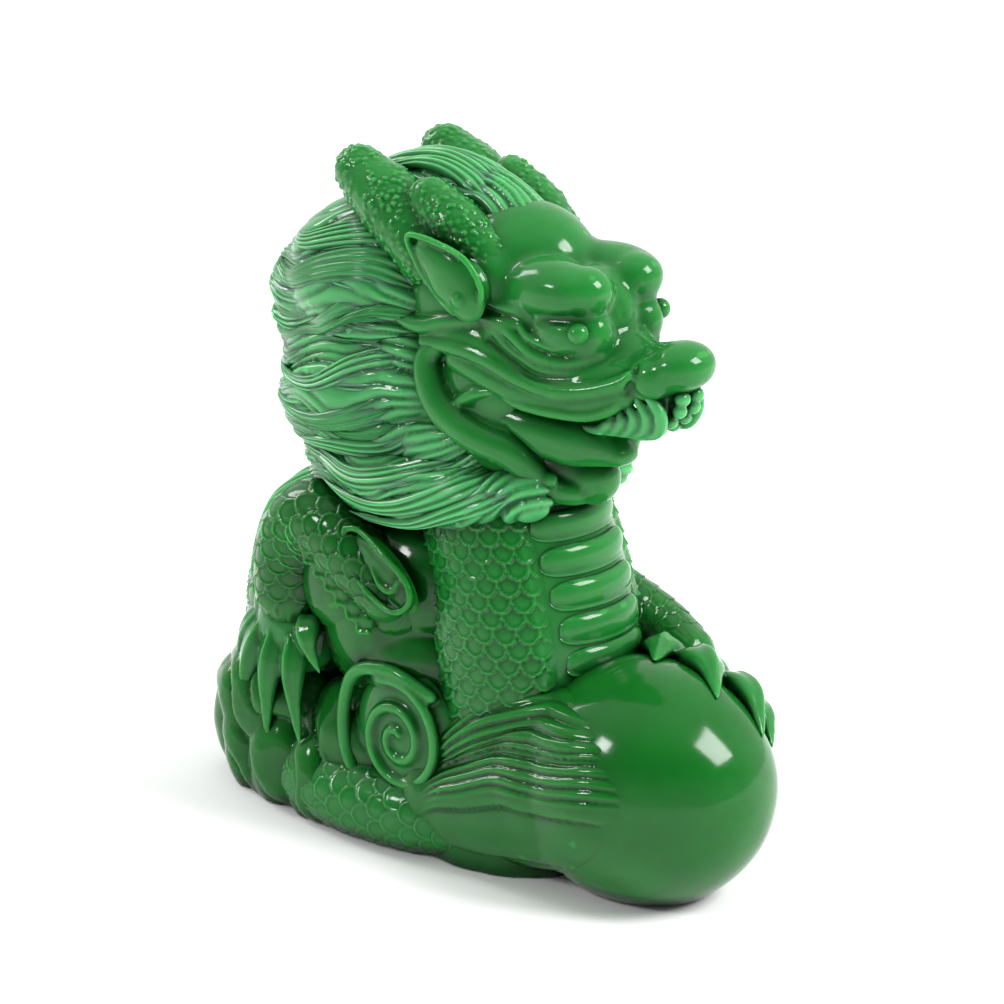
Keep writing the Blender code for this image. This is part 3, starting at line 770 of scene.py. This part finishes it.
def swell(count, root=0.12, fade=2.4):
    """How wide a lock is along its length: quickly full, then drawn out to a point."""
    t = np.linspace(0, 1, count)
    return np.sqrt(np.clip(t / root, 0, 1)) * np.clip(1 - t ** fade, 0, 1) ** 0.8


def lock(bm, places, outs, width, thick, flutes=5, groove=0.34, rings=30, root=0.12, fade=2.4):
    """One combed lock over laid places."""
    full = swell(rings, root, fade)
    centres = line(softened(places, 1), rings)
    loft(bm, centres, unit(line(softened(outs, 2), rings)), width * full,
         thick * (0.25 + 0.75 * full) * np.minimum(1, full * 4), 10 + 7 * flutes, flutes=flutes,
         groove=groove, under=0.8)


# %% The comb: grooves that follow the guides
MANE_GUIDES = np.array([
    [(-9.0, 9.0), (-14, 12.0), (-20, 11.5), (-26, 12.0), (-32, 9.5)],
    [(-7.0, 5.0), (-12.5, 8.0), (-19, 7.0), (-27, 5.5), (-34, 5.0)],
    [(-6.0, 0.0), (-12, 1.5), (-19, 1.0), (-27, -1.5), (-34, -1.5)],
    [(-6.5, -5.0), (-12, -4.0), (-19, -5.0), (-26, -9.0), (-33, -9.5)],
    [(-5.0, -9.5), (-10.5, -10.0), (-17, -12.0), (-24, -12.5), (-31, -15.5)],
    [(0.5, -12.5), (-6.0, -15.5), (-13.5, -17.0), (-21, -14.5), (-29, -17.5)],
    [(6.0, -13.0), (-1.0, -17.5), (-11.0, -20.0), (-20, -17.5), (-28, -19.0)],
    [(11.0, -16.5), (2.0, -20.0), (-8.5, -22.6), (-18, -20.5), (-27, -20.0)],
])


def guide_at(share):
    """The combed line at a share of the way from the top guide to the bottom one."""
    place = min(max(share, 0), 1) * (len(MANE_GUIDES) - 1)
    i = min(int(place), len(MANE_GUIDES) - 2)
    return MANE_GUIDES[i] + (MANE_GUIDES[i + 1] - MANE_GUIDES[i]) * (place - i)


def across_mane(places):
    """How far a place lies across the combed lines of the mane, in mm from the top guide."""
    x, z = places[:, 0] - HEAD.x, places[:, 2] - HEAD.z
    heights = []
    for guide in MANE_GUIDES:
        dense = line(guide, 60)[::-1]
        front = (dense[-1] - dense[-5]) / (dense[-1, 0] - dense[-5, 0])
        heights.append(np.interp(x, dense[:, 0], dense[:, 1]) + front[1] * np.maximum(x - dense[-1, 0], 0))
    place = sum(np.clip((a - z) / np.maximum(a - b, 0.5), 0, 1) for a, b in zip(heights, heights[1:]))
    return 4.3 * place + np.maximum(z - heights[0], 0) * -1.0 + np.maximum(heights[-1] - z, 0)


def combed(mesh, across_of, lock_mm=4.6, strand_mm=1.0, lock_rise=1.1, groove=0.42):
    """Presses locks, with fine strands inside each, into a skin. across_of gives the place across them."""
    def relief(places, normals):
        across = across_of(places) + 2.6 * drift(places, 11.0, 3.1) + 0.25 * drift(places, 4.5, 7.7)
        f = (across / lock_mm) % 1.0
        lap = np.sqrt(np.clip(1 - (2 * f ** 0.62 - 1) ** 2, 0, 1))
        strands = np.abs(np.sin(pi * (across + 0.15 * drift(places, 2.4, 1.3)) / strand_mm)) ** 0.8
        strength = np.clip(0.85 + 0.9 * drift(places, 5.0, 5.5), 0.25, 1.3)
        return lock_rise * lap + groove * strength * (strands - 1)
    return pressed(mesh, relief)


def half_of(mesh, side):
    """The half of a mesh that lies on one side of the middle, closed."""
    bm = bmesh.new()
    bm.from_mesh(mesh)
    half = bmesh.ops.bisect_plane(bm, geom=bm.verts[:] + bm.edges[:] + bm.faces[:], plane_co=(0, 0, 0),
                                  plane_no=(0, -side, 0), clear_outer=True)
    bmesh.ops.holes_fill(bm, edges=[e for e in half["geom_cut"] if isinstance(e, bmesh.types.BMEdge)],
                         sides=0)
    return bm


# %% The mane
# raised locks that catch the light: side-view places (x, z) from the skull's middle, half width, lift
RAISED = (([(-6.5, 8.6), (-11, 10.4), (-17, 9.4), (-24.5, 7.2), (-31, 9.0)], 1.9, 0.6),
          ([(-5.4, 4.4), (-11, 7.0), (-18.5, 5.6), (-26, 2.6), (-32.5, 4.6)], 2.1, 0.7),
          ([(-7.0, 1.4), (-14.0, 1.2), (-21, -2.6), (-27.5, -4.8), (-33, -3.0)], 1.8, 0.5),
          ([(-4.5, 0.8), (-9, 2.2), (-13, 1.4), (-18, -1.2)], 0.9, 0.8),
          ([(-6.4, -3.0), (-13, -5.2), (-20, -8.6), (-29, -8.2)], 1.6, 0.5),
          ([(-6.0, -8.0), (-12.5, -11.0), (-20, -12.8), (-28.5, -12.0)], 1.6, 0.5),
          ([(-2.5, -11.8), (-9.5, -14.8), (-17.5, -15.2), (-26, -16.0)], 1.6, 0.6),
          ([(2.5, -13.4), (-4.5, -16.8), (-13, -18.6), (-22.5, -17.0), (-28, -18.4)], 1.5, 0.7),
          ([(7.5, -14.6), (0.5, -18.2), (-8.5, -20.8), (-18, -19.8)], 1.4, 0.8),
          ([(9.5, -16.4), (3.0, -19.2), (-5.0, -21.8), (-14, -22.0)], 1.2, 0.9))


def mane(side):
    """One half of the mane: the combed clay, its raised locks and two ranks of loose ones."""
    rng = random.Random(11)
    bm = half_of(combed(under_hair.copy(), across_mane), side)
    for points, width, lift in RAISED:
        rows = line(points, 16) + (HEAD.x, HEAD.z)
        places, outs = from_side(rows, side)
        grow = np.linspace(0, 1, 16)[:, None]
        lock(bm, places + outs * (lift - 1.4 * (1 - grow) ** 4 + 0.6 * grow ** 3), outs, 1.35 * width,
             1.25, flutes=max(3, round(width * 2.4)), groove=0.36, rings=46, root=0.2, fade=1.3)
    # layered locks in two ranks: the front rank sweeps back from the cheek, the rear one breaks the outline
    for first, last, count, width, curl_mm in ((0.0, 0.56, 11, (1.5, 2.2), (0.5, 2.2)),
                                               (0.42, 1.0, 14, (1.6, 2.6), (2.0, 4.6))):
        for i in range(count):
            share = (i + 0.5 + rng.uniform(-0.3, 0.3)) / count
            whole = line(guide_at(share), 60)
            reach = np.linspace(first + rng.uniform(0, 0.14), last + rng.uniform(-0.06, 0.05), 12) * 59
            xs, zs = (np.interp(reach, np.arange(60), whole[:, k]) for k in (0, 1))
            grow = np.linspace(0, 1, 12)
            turn = 1 if rng.random() < 0.75 else -0.6
            curl = rng.uniform(*curl_mm) * turn * (grow ** 3 - 0.35 * np.sin(pi * grow))
            places, outs = from_side([(x + HEAD.x, z + HEAD.z + c) for x, z, c in zip(xs, zs, curl)], side)
            rise = -0.9 + 1.6 * grow ** 0.7 + (0.9 * grow ** 3 if last > 0.9 else -0.8 * grow ** 4)
            lock(bm, places + outs * rise[:, None], outs, rng.uniform(*width), 1.25, flutes=4, groove=0.36,
                 rings=34, root=0.3, fade=1.5)
    return bm


for side, word in ((-1, "right"), (1, "left")):
    finish_piece(f"mane_{word}_glass", mane(side), pale_jade, f"mane_{word}")

# %% The crest between the horns, and the hair down the back
def over_top(angles, y):
    """Rays that come in on the top and back of the head, in the plane at y, at degrees round its middle."""
    hub = HEAD + Vector((-12, 0, -6))
    aims = [(hub.x, 0.9 * y, hub.z) for _ in angles]
    return laid([(hub.x + 60 * cos(radians(a)), y, hub.z + 60 * sin(radians(a))) for a in angles], aims)


bm = bmesh.new()
bm.from_mesh(combed(under_crest.copy(), lambda places: places[:, 1] + 20.0, lock_mm=2.9, strand_mm=0.95,
                    lock_rise=0.5, groove=0.34))
rng = random.Random(3)
# ranks of locks: first and last place in degrees round the skull, places across it, lift
CREST_RANKS = ((112, 150, (-3.6, -1.2, 1.2, 3.6), 0.2),
               (84, 150, (-3.8, -1.3, 1.3, 3.8), 0.3),
               (60, 118, (-3.2, -1.1, 1.1, 3.2), 0.3))
for start, end, rows, lift in CREST_RANKS:
    for y in rows:
        angles = np.linspace(start + rng.uniform(-4, 4), end + rng.uniform(-6, 6), 12)
        sway = 0.5 * np.sin(np.linspace(0, 6, 12) + rng.uniform(0, 6))
        places, outs = zip(*[over_top([a], y + s) for a, s in zip(angles, sway)])
        places, outs = np.vstack(places), np.vstack(outs)
        grow = np.linspace(0, 1, 12)[:, None]
        lock(bm, places + outs * (lift - 0.9 * (1 - grow) ** 4 + 0.5 * grow ** 2), outs, 1.5, 0.9,
             flutes=3, groove=0.26, rings=40, root=0.2, fade=1.6)
finish_piece("crest_glass", bm, pale_jade, "mane_crest")


coil_skin = skin_of(coil_mesh)


def back_hair():
    """Locks that run down the rear of the coil, side by side."""
    bm = bmesh.new()
    rng = random.Random(8)
    low, high = box_mm("back_hair")
    for i in range(11):
        y = -4.6 + 0.92 * i
        heights = np.linspace(high.z - 1, low.z + 4 + rng.uniform(-3, 5), 10)
        sway = 0.5 * np.sin(np.linspace(0, 5, 10) + rng.uniform(0, 6))
        places, outs = laid([(-70, y + s, z) for z, s in zip(heights, sway)],
                            [(-20, 0.8 * y, z) for z in heights], coil_skin)
        lock(bm, places + outs * 0.3, outs, 1.25, 1.2, flutes=3, rings=44, fade=3)
    return bm


finish_piece("back_hair_glass", back_hair(), pale_jade, "back_hair")


# %% [markdown]
# ## Tail, tuft and cloud scrolls
# The tail lies along the foot of the base and ends in a tuft of hair that sweeps up onto the pearl. The
# tail is a tube lifted by the scale function. The tuft starts as a second pearl with clay added towards the
# tail, and a formula presses its strands in, so that they can sink away into the ball. A cloud scroll is a
# spiral cord on a rounded disc, with a second cord round part of it.

# %% Tail
def scaled_tube(bm, stations, up, pitch, width, rings, around, rise=0.3, reverse=False):
    """A round-ended tube with a skin of scales, whose free edges point to its end, or to its start."""
    rows = line(stations, rings)
    centres, radii = rounded(rows[:, :3], rows[:, 3], steps=8)
    total = len(centres)
    steps = np.linalg.norm(np.diff(centres, axis=0), axis=1)
    length = np.concatenate([[0], np.cumsum(steps)])
    tangent = unit(np.gradient(centres, axis=0))
    side = unit(np.cross(tangent, np.broadcast_to(np.array(up, float), centres.shape)))
    lift = np.cross(side, tangent)
    verts = bmesh.ops.create_grid(bm, x_segments=total - 1, y_segments=around, size=1.0)["verts"]
    grid = np.array([v.co for v in verts])
    ring = np.rint((grid[:, 0] * 0.5 + 0.5) * (total - 1)).astype(int)
    angle = grid[:, 1] * pi
    girth = tau * float(np.mean(rows[:, 3]))
    columns = max(6, round(girth / width))
    along = length[-1] - length if reverse else length
    bumps = scale_height(along[ring], angle / tau * columns * width, pitch, width,
                         rise) * np.clip(radii[ring] / radii.max() * 1.5 - 0.4, 0, 1)
    reach = radii[ring] + bumps
    reach = np.where((ring == 0) | (ring == total - 1), 0, reach)
    places = (centres[ring] + side[ring] * (reach * np.sin(angle))[:, None]
              + lift[ring] * (reach * np.cos(angle))[:, None])
    for vert, place in zip(verts, places):
        vert.co = place
    bmesh.ops.remove_doubles(bm, verts=verts, dist=0.002)


bm = bmesh.new()
TAIL_Y = BASE_Y - 10.6
scaled_tube(bm, [(REAR + 13, TAIL_Y + 3.0, 5.2, 4.6), (REAR + 24, TAIL_Y, 4.2, 4.8),
                 (REAR + 35, TAIL_Y, 4.2, 4.8), (REAR + 44, TAIL_Y + 2.2, 4.8, 4.5)],
            (0, 0, 1), 2.0, 2.9, 200, 160, rise=0.34, reverse=True)
stand_flat(bm)
finish_piece("tail_glass", bm, clear_jade, "tail")

# %% The tuft that sweeps onto the pearl
TUFT_START = 3.0  # x of the knot where tail and tuft meet
TUFT_PROUD = 0.45  # how far the tuft stands above the pearl


def tuft_edges(x):
    """Heights of the tuft's lower and upper outline at x, in mm."""
    past = np.maximum(x - TUFT_START, 0)
    return 1.8 + 0.0045 * past ** 2, 7.4 + 15.2 * (1 - np.exp(-(past + 2.5) / 8.0))


def tuft_relief(places, normals):
    """Fine strands above, one broad skirt below, all sinking away where they meet the pearl."""
    x, z = places[:, 0], places[:, 2]
    low, high = tuft_edges(x)
    share = (z - low) / (high - low)
    across = 18 * share + 0.7 * drift(places, 8.0, 2.0)
    reach = 41.0 - 30 * (share - 0.55) ** 2
    sunk = np.clip((reach - x) / 15.0, 0, 1)
    sunk = sunk * sunk * (3 - 2 * sunk)
    marked = np.clip((reach - 5.5 - x) / 9.0, 0, 1)
    upper = np.clip((share - 0.50) / 0.10, 0, 1)
    fine = np.abs(np.sin(pi * across / 1.3)) ** 0.8 - 1
    f = ((across - 0.6) / 7.2) % 1.0
    skirt = np.sqrt(np.clip(1 - (2 * f ** 0.6 - 1) ** 2, 0, 1))
    rooted = np.clip((x - TUFT_START) / 3, 0, 1)
    return marked * rooted * (0.45 * upper * fine + 0.9 * (skirt - 0.5)) + (TUFT_PROUD + 0.7) * sunk - 0.7


def cut_off(mesh, point, outward):
    """Cuts a closed mesh with a plane, and closes the cut."""
    bm = bmesh.new()
    bm.from_mesh(mesh)
    cut = bmesh.ops.bisect_plane(bm, geom=bm.verts[:] + bm.edges[:] + bm.faces[:], plane_co=point,
                                 plane_no=outward, clear_outer=True)
    bmesh.ops.holes_fill(bm, edges=[e for e in cut["geom_cut"] if isinstance(e, bmesh.types.BMEdge)],
                         sides=0)
    bm.to_mesh(mesh)
    bm.free()
    return mesh


clay = bmesh.new()
ball(clay, PEARL, PEARL_RADII, fine=120)
tube(clay, [(2.5, -8.6, 7.2, 6.4), (9, -6.6, 8.6, 8.6), (16, -4.0, 10.6, 10.8)], up=(0, -1, 0), rings=40,
     around=60)
ball(clay, (12, -5.5, 11.5), (9.5, 8.6, 9.6), fine=40)
ball(clay, (17.5, -5.4, 11.6), (10.5, 9.2, 10.6), fine=60)
tube(clay, [(5.5, -10.8, 15.0, 2.6), (10, -10.2, 18.0, 2.8), (16, -8.8, 20.4, 2.6), (23, -7.6, 21.2, 2.0)],
     up=(0, -1, 0))
ball(clay, (26.5, -8.6, 21.4), (4.6, 3.4, 2.4), (0, 4, 0), fine=40)
tuft = pressed(wrapped(clay, 0.27, rounds=60), tuft_relief)
tuft = cut_off(cut_off(tuft, (0, 1.0, 0), (0, 1, 0)), (39.0, 0, 0), (1, 0, 0))
finish_piece("tail_tuft_glass", grounded(tuft), deep_jade, "tail_tuft")

# %% Cloud scrolls
def cloud_scroll(side):
    """A spiral cord on a rounded disc, with a second cord round part of it."""
    bm = bmesh.new()
    centre = Vector((REAR + 36.6, side * 13.6, 14.2))
    outer = 7.3
    turns, steps = 2.15, 34
    rows = []
    for i in range(steps):
        share = i / (steps - 1)
        angle = radians(112) - turns * tau * share
        reach = outer + (0.8 - outer) * share ** 0.85
        rows.append((centre.x + reach * cos(angle), centre.y + side * 0.6,
                     centre.z + reach * sin(angle) * 1.05, 0.72 - 0.15 * share))
    tube(bm, rows, up=(0, side, 0), rings=170, around=14)
    ball(bm, centre + Vector((0, -side * 1.6, 0)), (8.4, 2.2, 8.6), fine=40)
    ball(bm, centre + Vector((0, -side * 5.0, -2.0)), (9.8, 5.6, 10.5), fine=40)
    # the second cord: forward, out and up from the middle, and its radius
    band = [(5.0, 0.0, 6.6, 0.8), (-1.0, 0.5, 8.4, 0.9), (-7.0, 0.4, 6.8, 0.9), (-9.4, 0.0, 1.0, 0.9),
            (-8.2, 0.3, -5.0, 0.9), (-3.6, 0.3, -9.0, 0.9), (1.5, 0.3, -9.6, 0.8)]
    tube(bm, [(centre.x + x, centre.y + side * y, centre.z + z, radius) for x, y, z, radius in band],
         up=(0, side, 0), rings=80, around=14)
    return wrapped(bm, 0.3, rounds=3)


for side, word in ((-1, "right"), (1, "left")):
    finish_piece(f"cloud_scroll_{word}_glass", cloud_scroll(side), clear_jade, f"cloud_scroll_{word}")


# %% [markdown]
# ## Forelegs and paws
# The right foreleg is bent at the elbow, and its paw hangs over the base. The left one reaches forward, and
# its paw lies on the pearl. Each leg is a scaled tube, and each paw is a ball of clay with talons. A talon
# could be a cone, but these are shaped like a leaf with a ridge, so each is a loft that swells and then
# runs out to a point.

# %% The raised right foreleg
bm = bmesh.new()
scaled_tube(bm, [(-4.0, -12.6, 31.5, 3.2), (-9.5, -12.4, 35.6, 4.0), (-16.6, -11.6, 38.2, 4.2),
                 (-20.8, -11.4, 34.0, 4.3), (-21.6, -11.2, 27.5, 4.2)],
            (0, -1, 0), 1.8, 2.7, 190, 130, rise=0.5)
clay = bmesh.new()
ball(clay, (-12.5, -9.6, 31.0), (8.6, 5.2, 8.2))
ball(clay, (-7.0, -10.6, 31.5), (7.6, 4.4, 5.4), (0, 34, 0))
# the haunch carries a leaf-shaped fin with a raised rim, and a row of knobs up to the elbow
leaf = [(-8.8, -15.2, 39.4), (-8.2, -15.8, 36.6), (-4.6, -16.2, 33.2), (-0.4, -16.0, 31.2),
        (1.9, -15.6, 32.6), (1.4, -15.4, 35.0), (-2.2, -15.2, 37.4), (-6.4, -15.0, 39.6),
        (-8.8, -15.2, 39.4)]
tube(clay, [(*p, 0.45) for p in leaf], up=(0, -1, 0), rings=90, around=12)
ball(clay, (-2.8, -14.4, 35.0), (6.2, 1.3, 2.8), (0, 38, 0), fine=40)
tube(clay, [(-3.8, -15.6, 35.4, 0.35), (-2.2, -15.9, 33.8, 0.4), (-0.6, -15.8, 33.6, 0.4),
            (0.2, -15.6, 34.8, 0.3)], up=(0, -1, 0), rings=20, around=10)
for k in range(7):
    x, z = -16.2 + 1.75 * k, 36.6 - 1.35 * k
    ball(clay, (x, -15.1 + 0.05 * k, z), (1.25, 0.8, 1.25), fine=20)
    tube(clay, [(x - 1.3, -15.2, z + 0.7, 0.28), (x - 0.6, -15.6, z - 1.3, 0.32),
                (x + 1.1, -15.4, z - 1.2, 0.28)], up=(0, -1, 0), rings=16, around=10)
bm.from_mesh(wrapped(clay, 0.26, rounds=4))
finish_piece("foreleg_right_glass", bm, deep_jade, "foreleg_right")


# %% Claws
def claw(bm, root, tip, out, wide, bulge):
    """A leaf-shaped talon with a ridge down its back, from root to tip, arched outwards by bulge."""
    root, tip, out = Vector(root), Vector(tip), Vector(out).normalized()
    rows = line([root[:], (root.lerp(tip, 0.42) + out * bulge)[:], tip[:]], 44)
    t = np.linspace(0, 1, 44)
    belly = 0.74 + 0.26 * np.sin(pi * np.minimum(1.5 * t, 1))
    full = np.sqrt(np.clip(t / 0.1, 0, 1)) * belly * np.clip(1 - t ** 2.4, 0, 1) ** 0.9
    loft(bm, rows, np.broadcast_to(np.array(out[:]), rows.shape), wide * full, 0.62 * wide * full, 40,
         relief=lambda t, across, _: 0.30 * wide * np.exp(-(across / 0.26) ** 2) * np.clip(1 - t, 0, 1))


bm = bmesh.new()
WRIST = Vector((-22, -11, 23.2))
ball(bm, WRIST + Vector((0.5, 0.4, -1)), (6.2, 4.0, 5.4))
ball(bm, WRIST + Vector((-5.0, 1.0, 1.4)), (2.0, 2.0, 2.4))
# the talons: root and tip counted from the wrist, and width
TALONS = (((-4.6, 0.6, 0.5), (-11.0, 0.6, -10.0), 2.3),
          ((-3.0, -0.8, 0.0), (-7.4, -2.4, -13.5), 2.3),
          ((-0.2, -1.6, 0.0), (-1.0, -3.9, -15.5), 2.4),
          ((2.8, -1.6, 0.2), (5.2, -4.2, -14.5), 2.3),
          ((4.4, -1.2, 2.4), (8.0, -3.4, -4.0), 2.2))
for root, tip, wide in TALONS:
    claw(bm, WRIST + Vector(root), WRIST + Vector(tip), (-0.15, -1, 0.15), wide, 1.2)
finish_piece("paw_right_glass", wrapped(bm, 0.3, rounds=3), clear_jade, "paw_right")

# %% The left foreleg and the paw on the pearl
def pearl_top(forward, left, out=0.0):
    """A place on the upper half of the pearl, as shares of its radii, raised by out."""
    height = max(0.0, 1 - forward ** 2 - left ** 2) ** 0.5
    return PEARL + Vector((forward * (PEARL_RADII.x + out), left * (PEARL_RADII.y + out),
                           height * (PEARL_RADII.z + out)))


bm = bmesh.new()
shoulder, wrist = Vector((12, 9.5, 28.5)), pearl_top(-0.22, 0.74, 2.4)
elbow = shoulder.lerp(wrist, 0.5) + Vector((0, 1.5, -0.6))
scaled_tube(bm, [(*shoulder, 4.5), (*elbow, 4.1), (*wrist, 3.7)], (0, 0, 1), 2.2, 2.4, 110, 120, rise=0.3)
finish_piece("foreleg_left_glass", bm, deep_jade, "foreleg_left")
bm = bmesh.new()
ball(bm, pearl_top(-0.10, 0.74, 0.2), (5.0, 4.2, 3.0))
for root, tip in (((-0.24, 0.58), (0.06, 0.02)), ((0.02, 0.54), (0.58, 0.10)),
                  ((0.22, 0.70), (0.80, 0.38)), ((0.18, 0.88), (0.70, 0.66))):
    a, b = pearl_top(*root, 0.4), pearl_top(*tip, 0.2)
    out = (a.lerp(b, 0.5) - PEARL).normalized()
    claw(bm, a, b, out, 2.9, 1.5)
finish_piece("paw_left_glass", wrapped(bm, 0.3, rounds=3), clear_jade, "paw_left")


# %% [markdown]
# ## The table, the camera and the light
# The figurine stands on white paper in a white room that darkens upwards. Polished glass mirrors what is
# round it, so each light is a soft box, whose rectangle shows as a highlight: one large square box and two
# smaller ones. Two smooth ramps set how bright the room is, one by direction and one by height.

# %% Table
bm = bmesh.new()
bmesh.ops.create_grid(bm, x_segments=2, y_segments=2, size=6.0, matrix=Matrix.Translation((0, 0, -0.0002)))
mesh = bpy.data.meshes.new("table_top")
bm.to_mesh(mesh)
bm.free()
table_top = bpy.data.objects.new("table_top", mesh)
bpy.context.scene.collection.objects.link(table_top)
paper = bpy.data.materials.new("white_backdrop_paper")
paper.use_nodes = True
paper.node_tree.nodes["Principled BSDF"].inputs["Base Color"].default_value = (0.93, 0.93, 0.93, 1)
paper.node_tree.nodes["Principled BSDF"].inputs["Roughness"].default_value = 0.9
mesh.materials.append(paper)

# %% Camera
CAMERA_AZIMUTH, CAMERA_RISE, CAMERA_AWAY = radians(42), radians(18.5), 0.450
back = Vector((sin(CAMERA_AZIMUTH) * cos(CAMERA_RISE), -cos(CAMERA_AZIMUTH) * cos(CAMERA_RISE),
               sin(CAMERA_RISE)))
aim = Vector((0.0026, 0, 0.0415))
lens = bpy.data.cameras.new("camera")
lens.lens, lens.sensor_width, lens.clip_start = 135.5, 36, 0.01
camera = bpy.data.objects.new("camera", lens)
bpy.context.scene.collection.objects.link(camera)
camera.location = aim + back * CAMERA_AWAY
camera.rotation_euler = back.to_track_quat("Z", "Y").to_euler()
bpy.context.scene.camera = camera


# %% Light
def softbox(name, direction, away, size, watts):
    """A rectangular light that looks at the figurine from away metres off."""
    data = bpy.data.lights.new(name, "AREA")
    data.shape, data.size, data.size_y, data.energy = "RECTANGLE", size[0], size[1], watts
    box = bpy.data.objects.new(name, data)
    bpy.context.scene.collection.objects.link(box)
    box.location = aim + Vector(direction).normalized() * away
    box.rotation_euler = Vector(direction).to_track_quat("Z", "Y").to_euler()


softbox("key_softbox", (0.697, 0.303, 0.651), 0.9, (0.38, 0.38), 10)
softbox("brow_softbox", (-0.35, -0.85, 0.62), 0.9, (0.16, 0.16), 2.6)
softbox("side_softbox", (-0.85, -0.1, 0.55), 0.9, (0.2, 0.5), 3.2)

world = bpy.data.worlds.new("white_room")
bpy.context.scene.world = world
world.use_nodes = True
where = add_node(world, "ShaderNodeTexCoord")
toward = add_node(world, "ShaderNodeVectorMath", [("Vector", where, "Generated")], operation="DOT_PRODUCT")
toward.inputs[1].default_value = Vector((back.x, back.y, -0.42)).normalized()
bright = add_node(world, "ShaderNodeMapRange", [("Value", toward, "Value")], interpolation_type="SMOOTHSTEP",
                  **{"From Min": -0.5, "From Max": 0.45, "To Min": 1.1, "To Max": 0.05})
# the room is white at table height and fades to dark further up
split = add_node(world, "ShaderNodeSeparateXYZ", [("Vector", where, "Generated")])
rising = add_node(world, "ShaderNodeMapRange", [("Value", split, "Z")], interpolation_type="SMOOTHSTEP",
                  **{"From Min": -0.05, "From Max": 0.55, "To Min": 0.9, "To Max": 0.0})
brighter = add_node(world, "ShaderNodeMath", [(0, bright, "Result"), (1, rising, "Result")],
                    operation="MAXIMUM")
background = world.node_tree.nodes["Background"]
background.inputs["Color"].default_value = (1, 1, 1, 1)
world.node_tree.links.new(brighter.outputs["Value"], background.inputs["Strength"])
bpy.context.scene.view_settings.view_transform = "Standard"
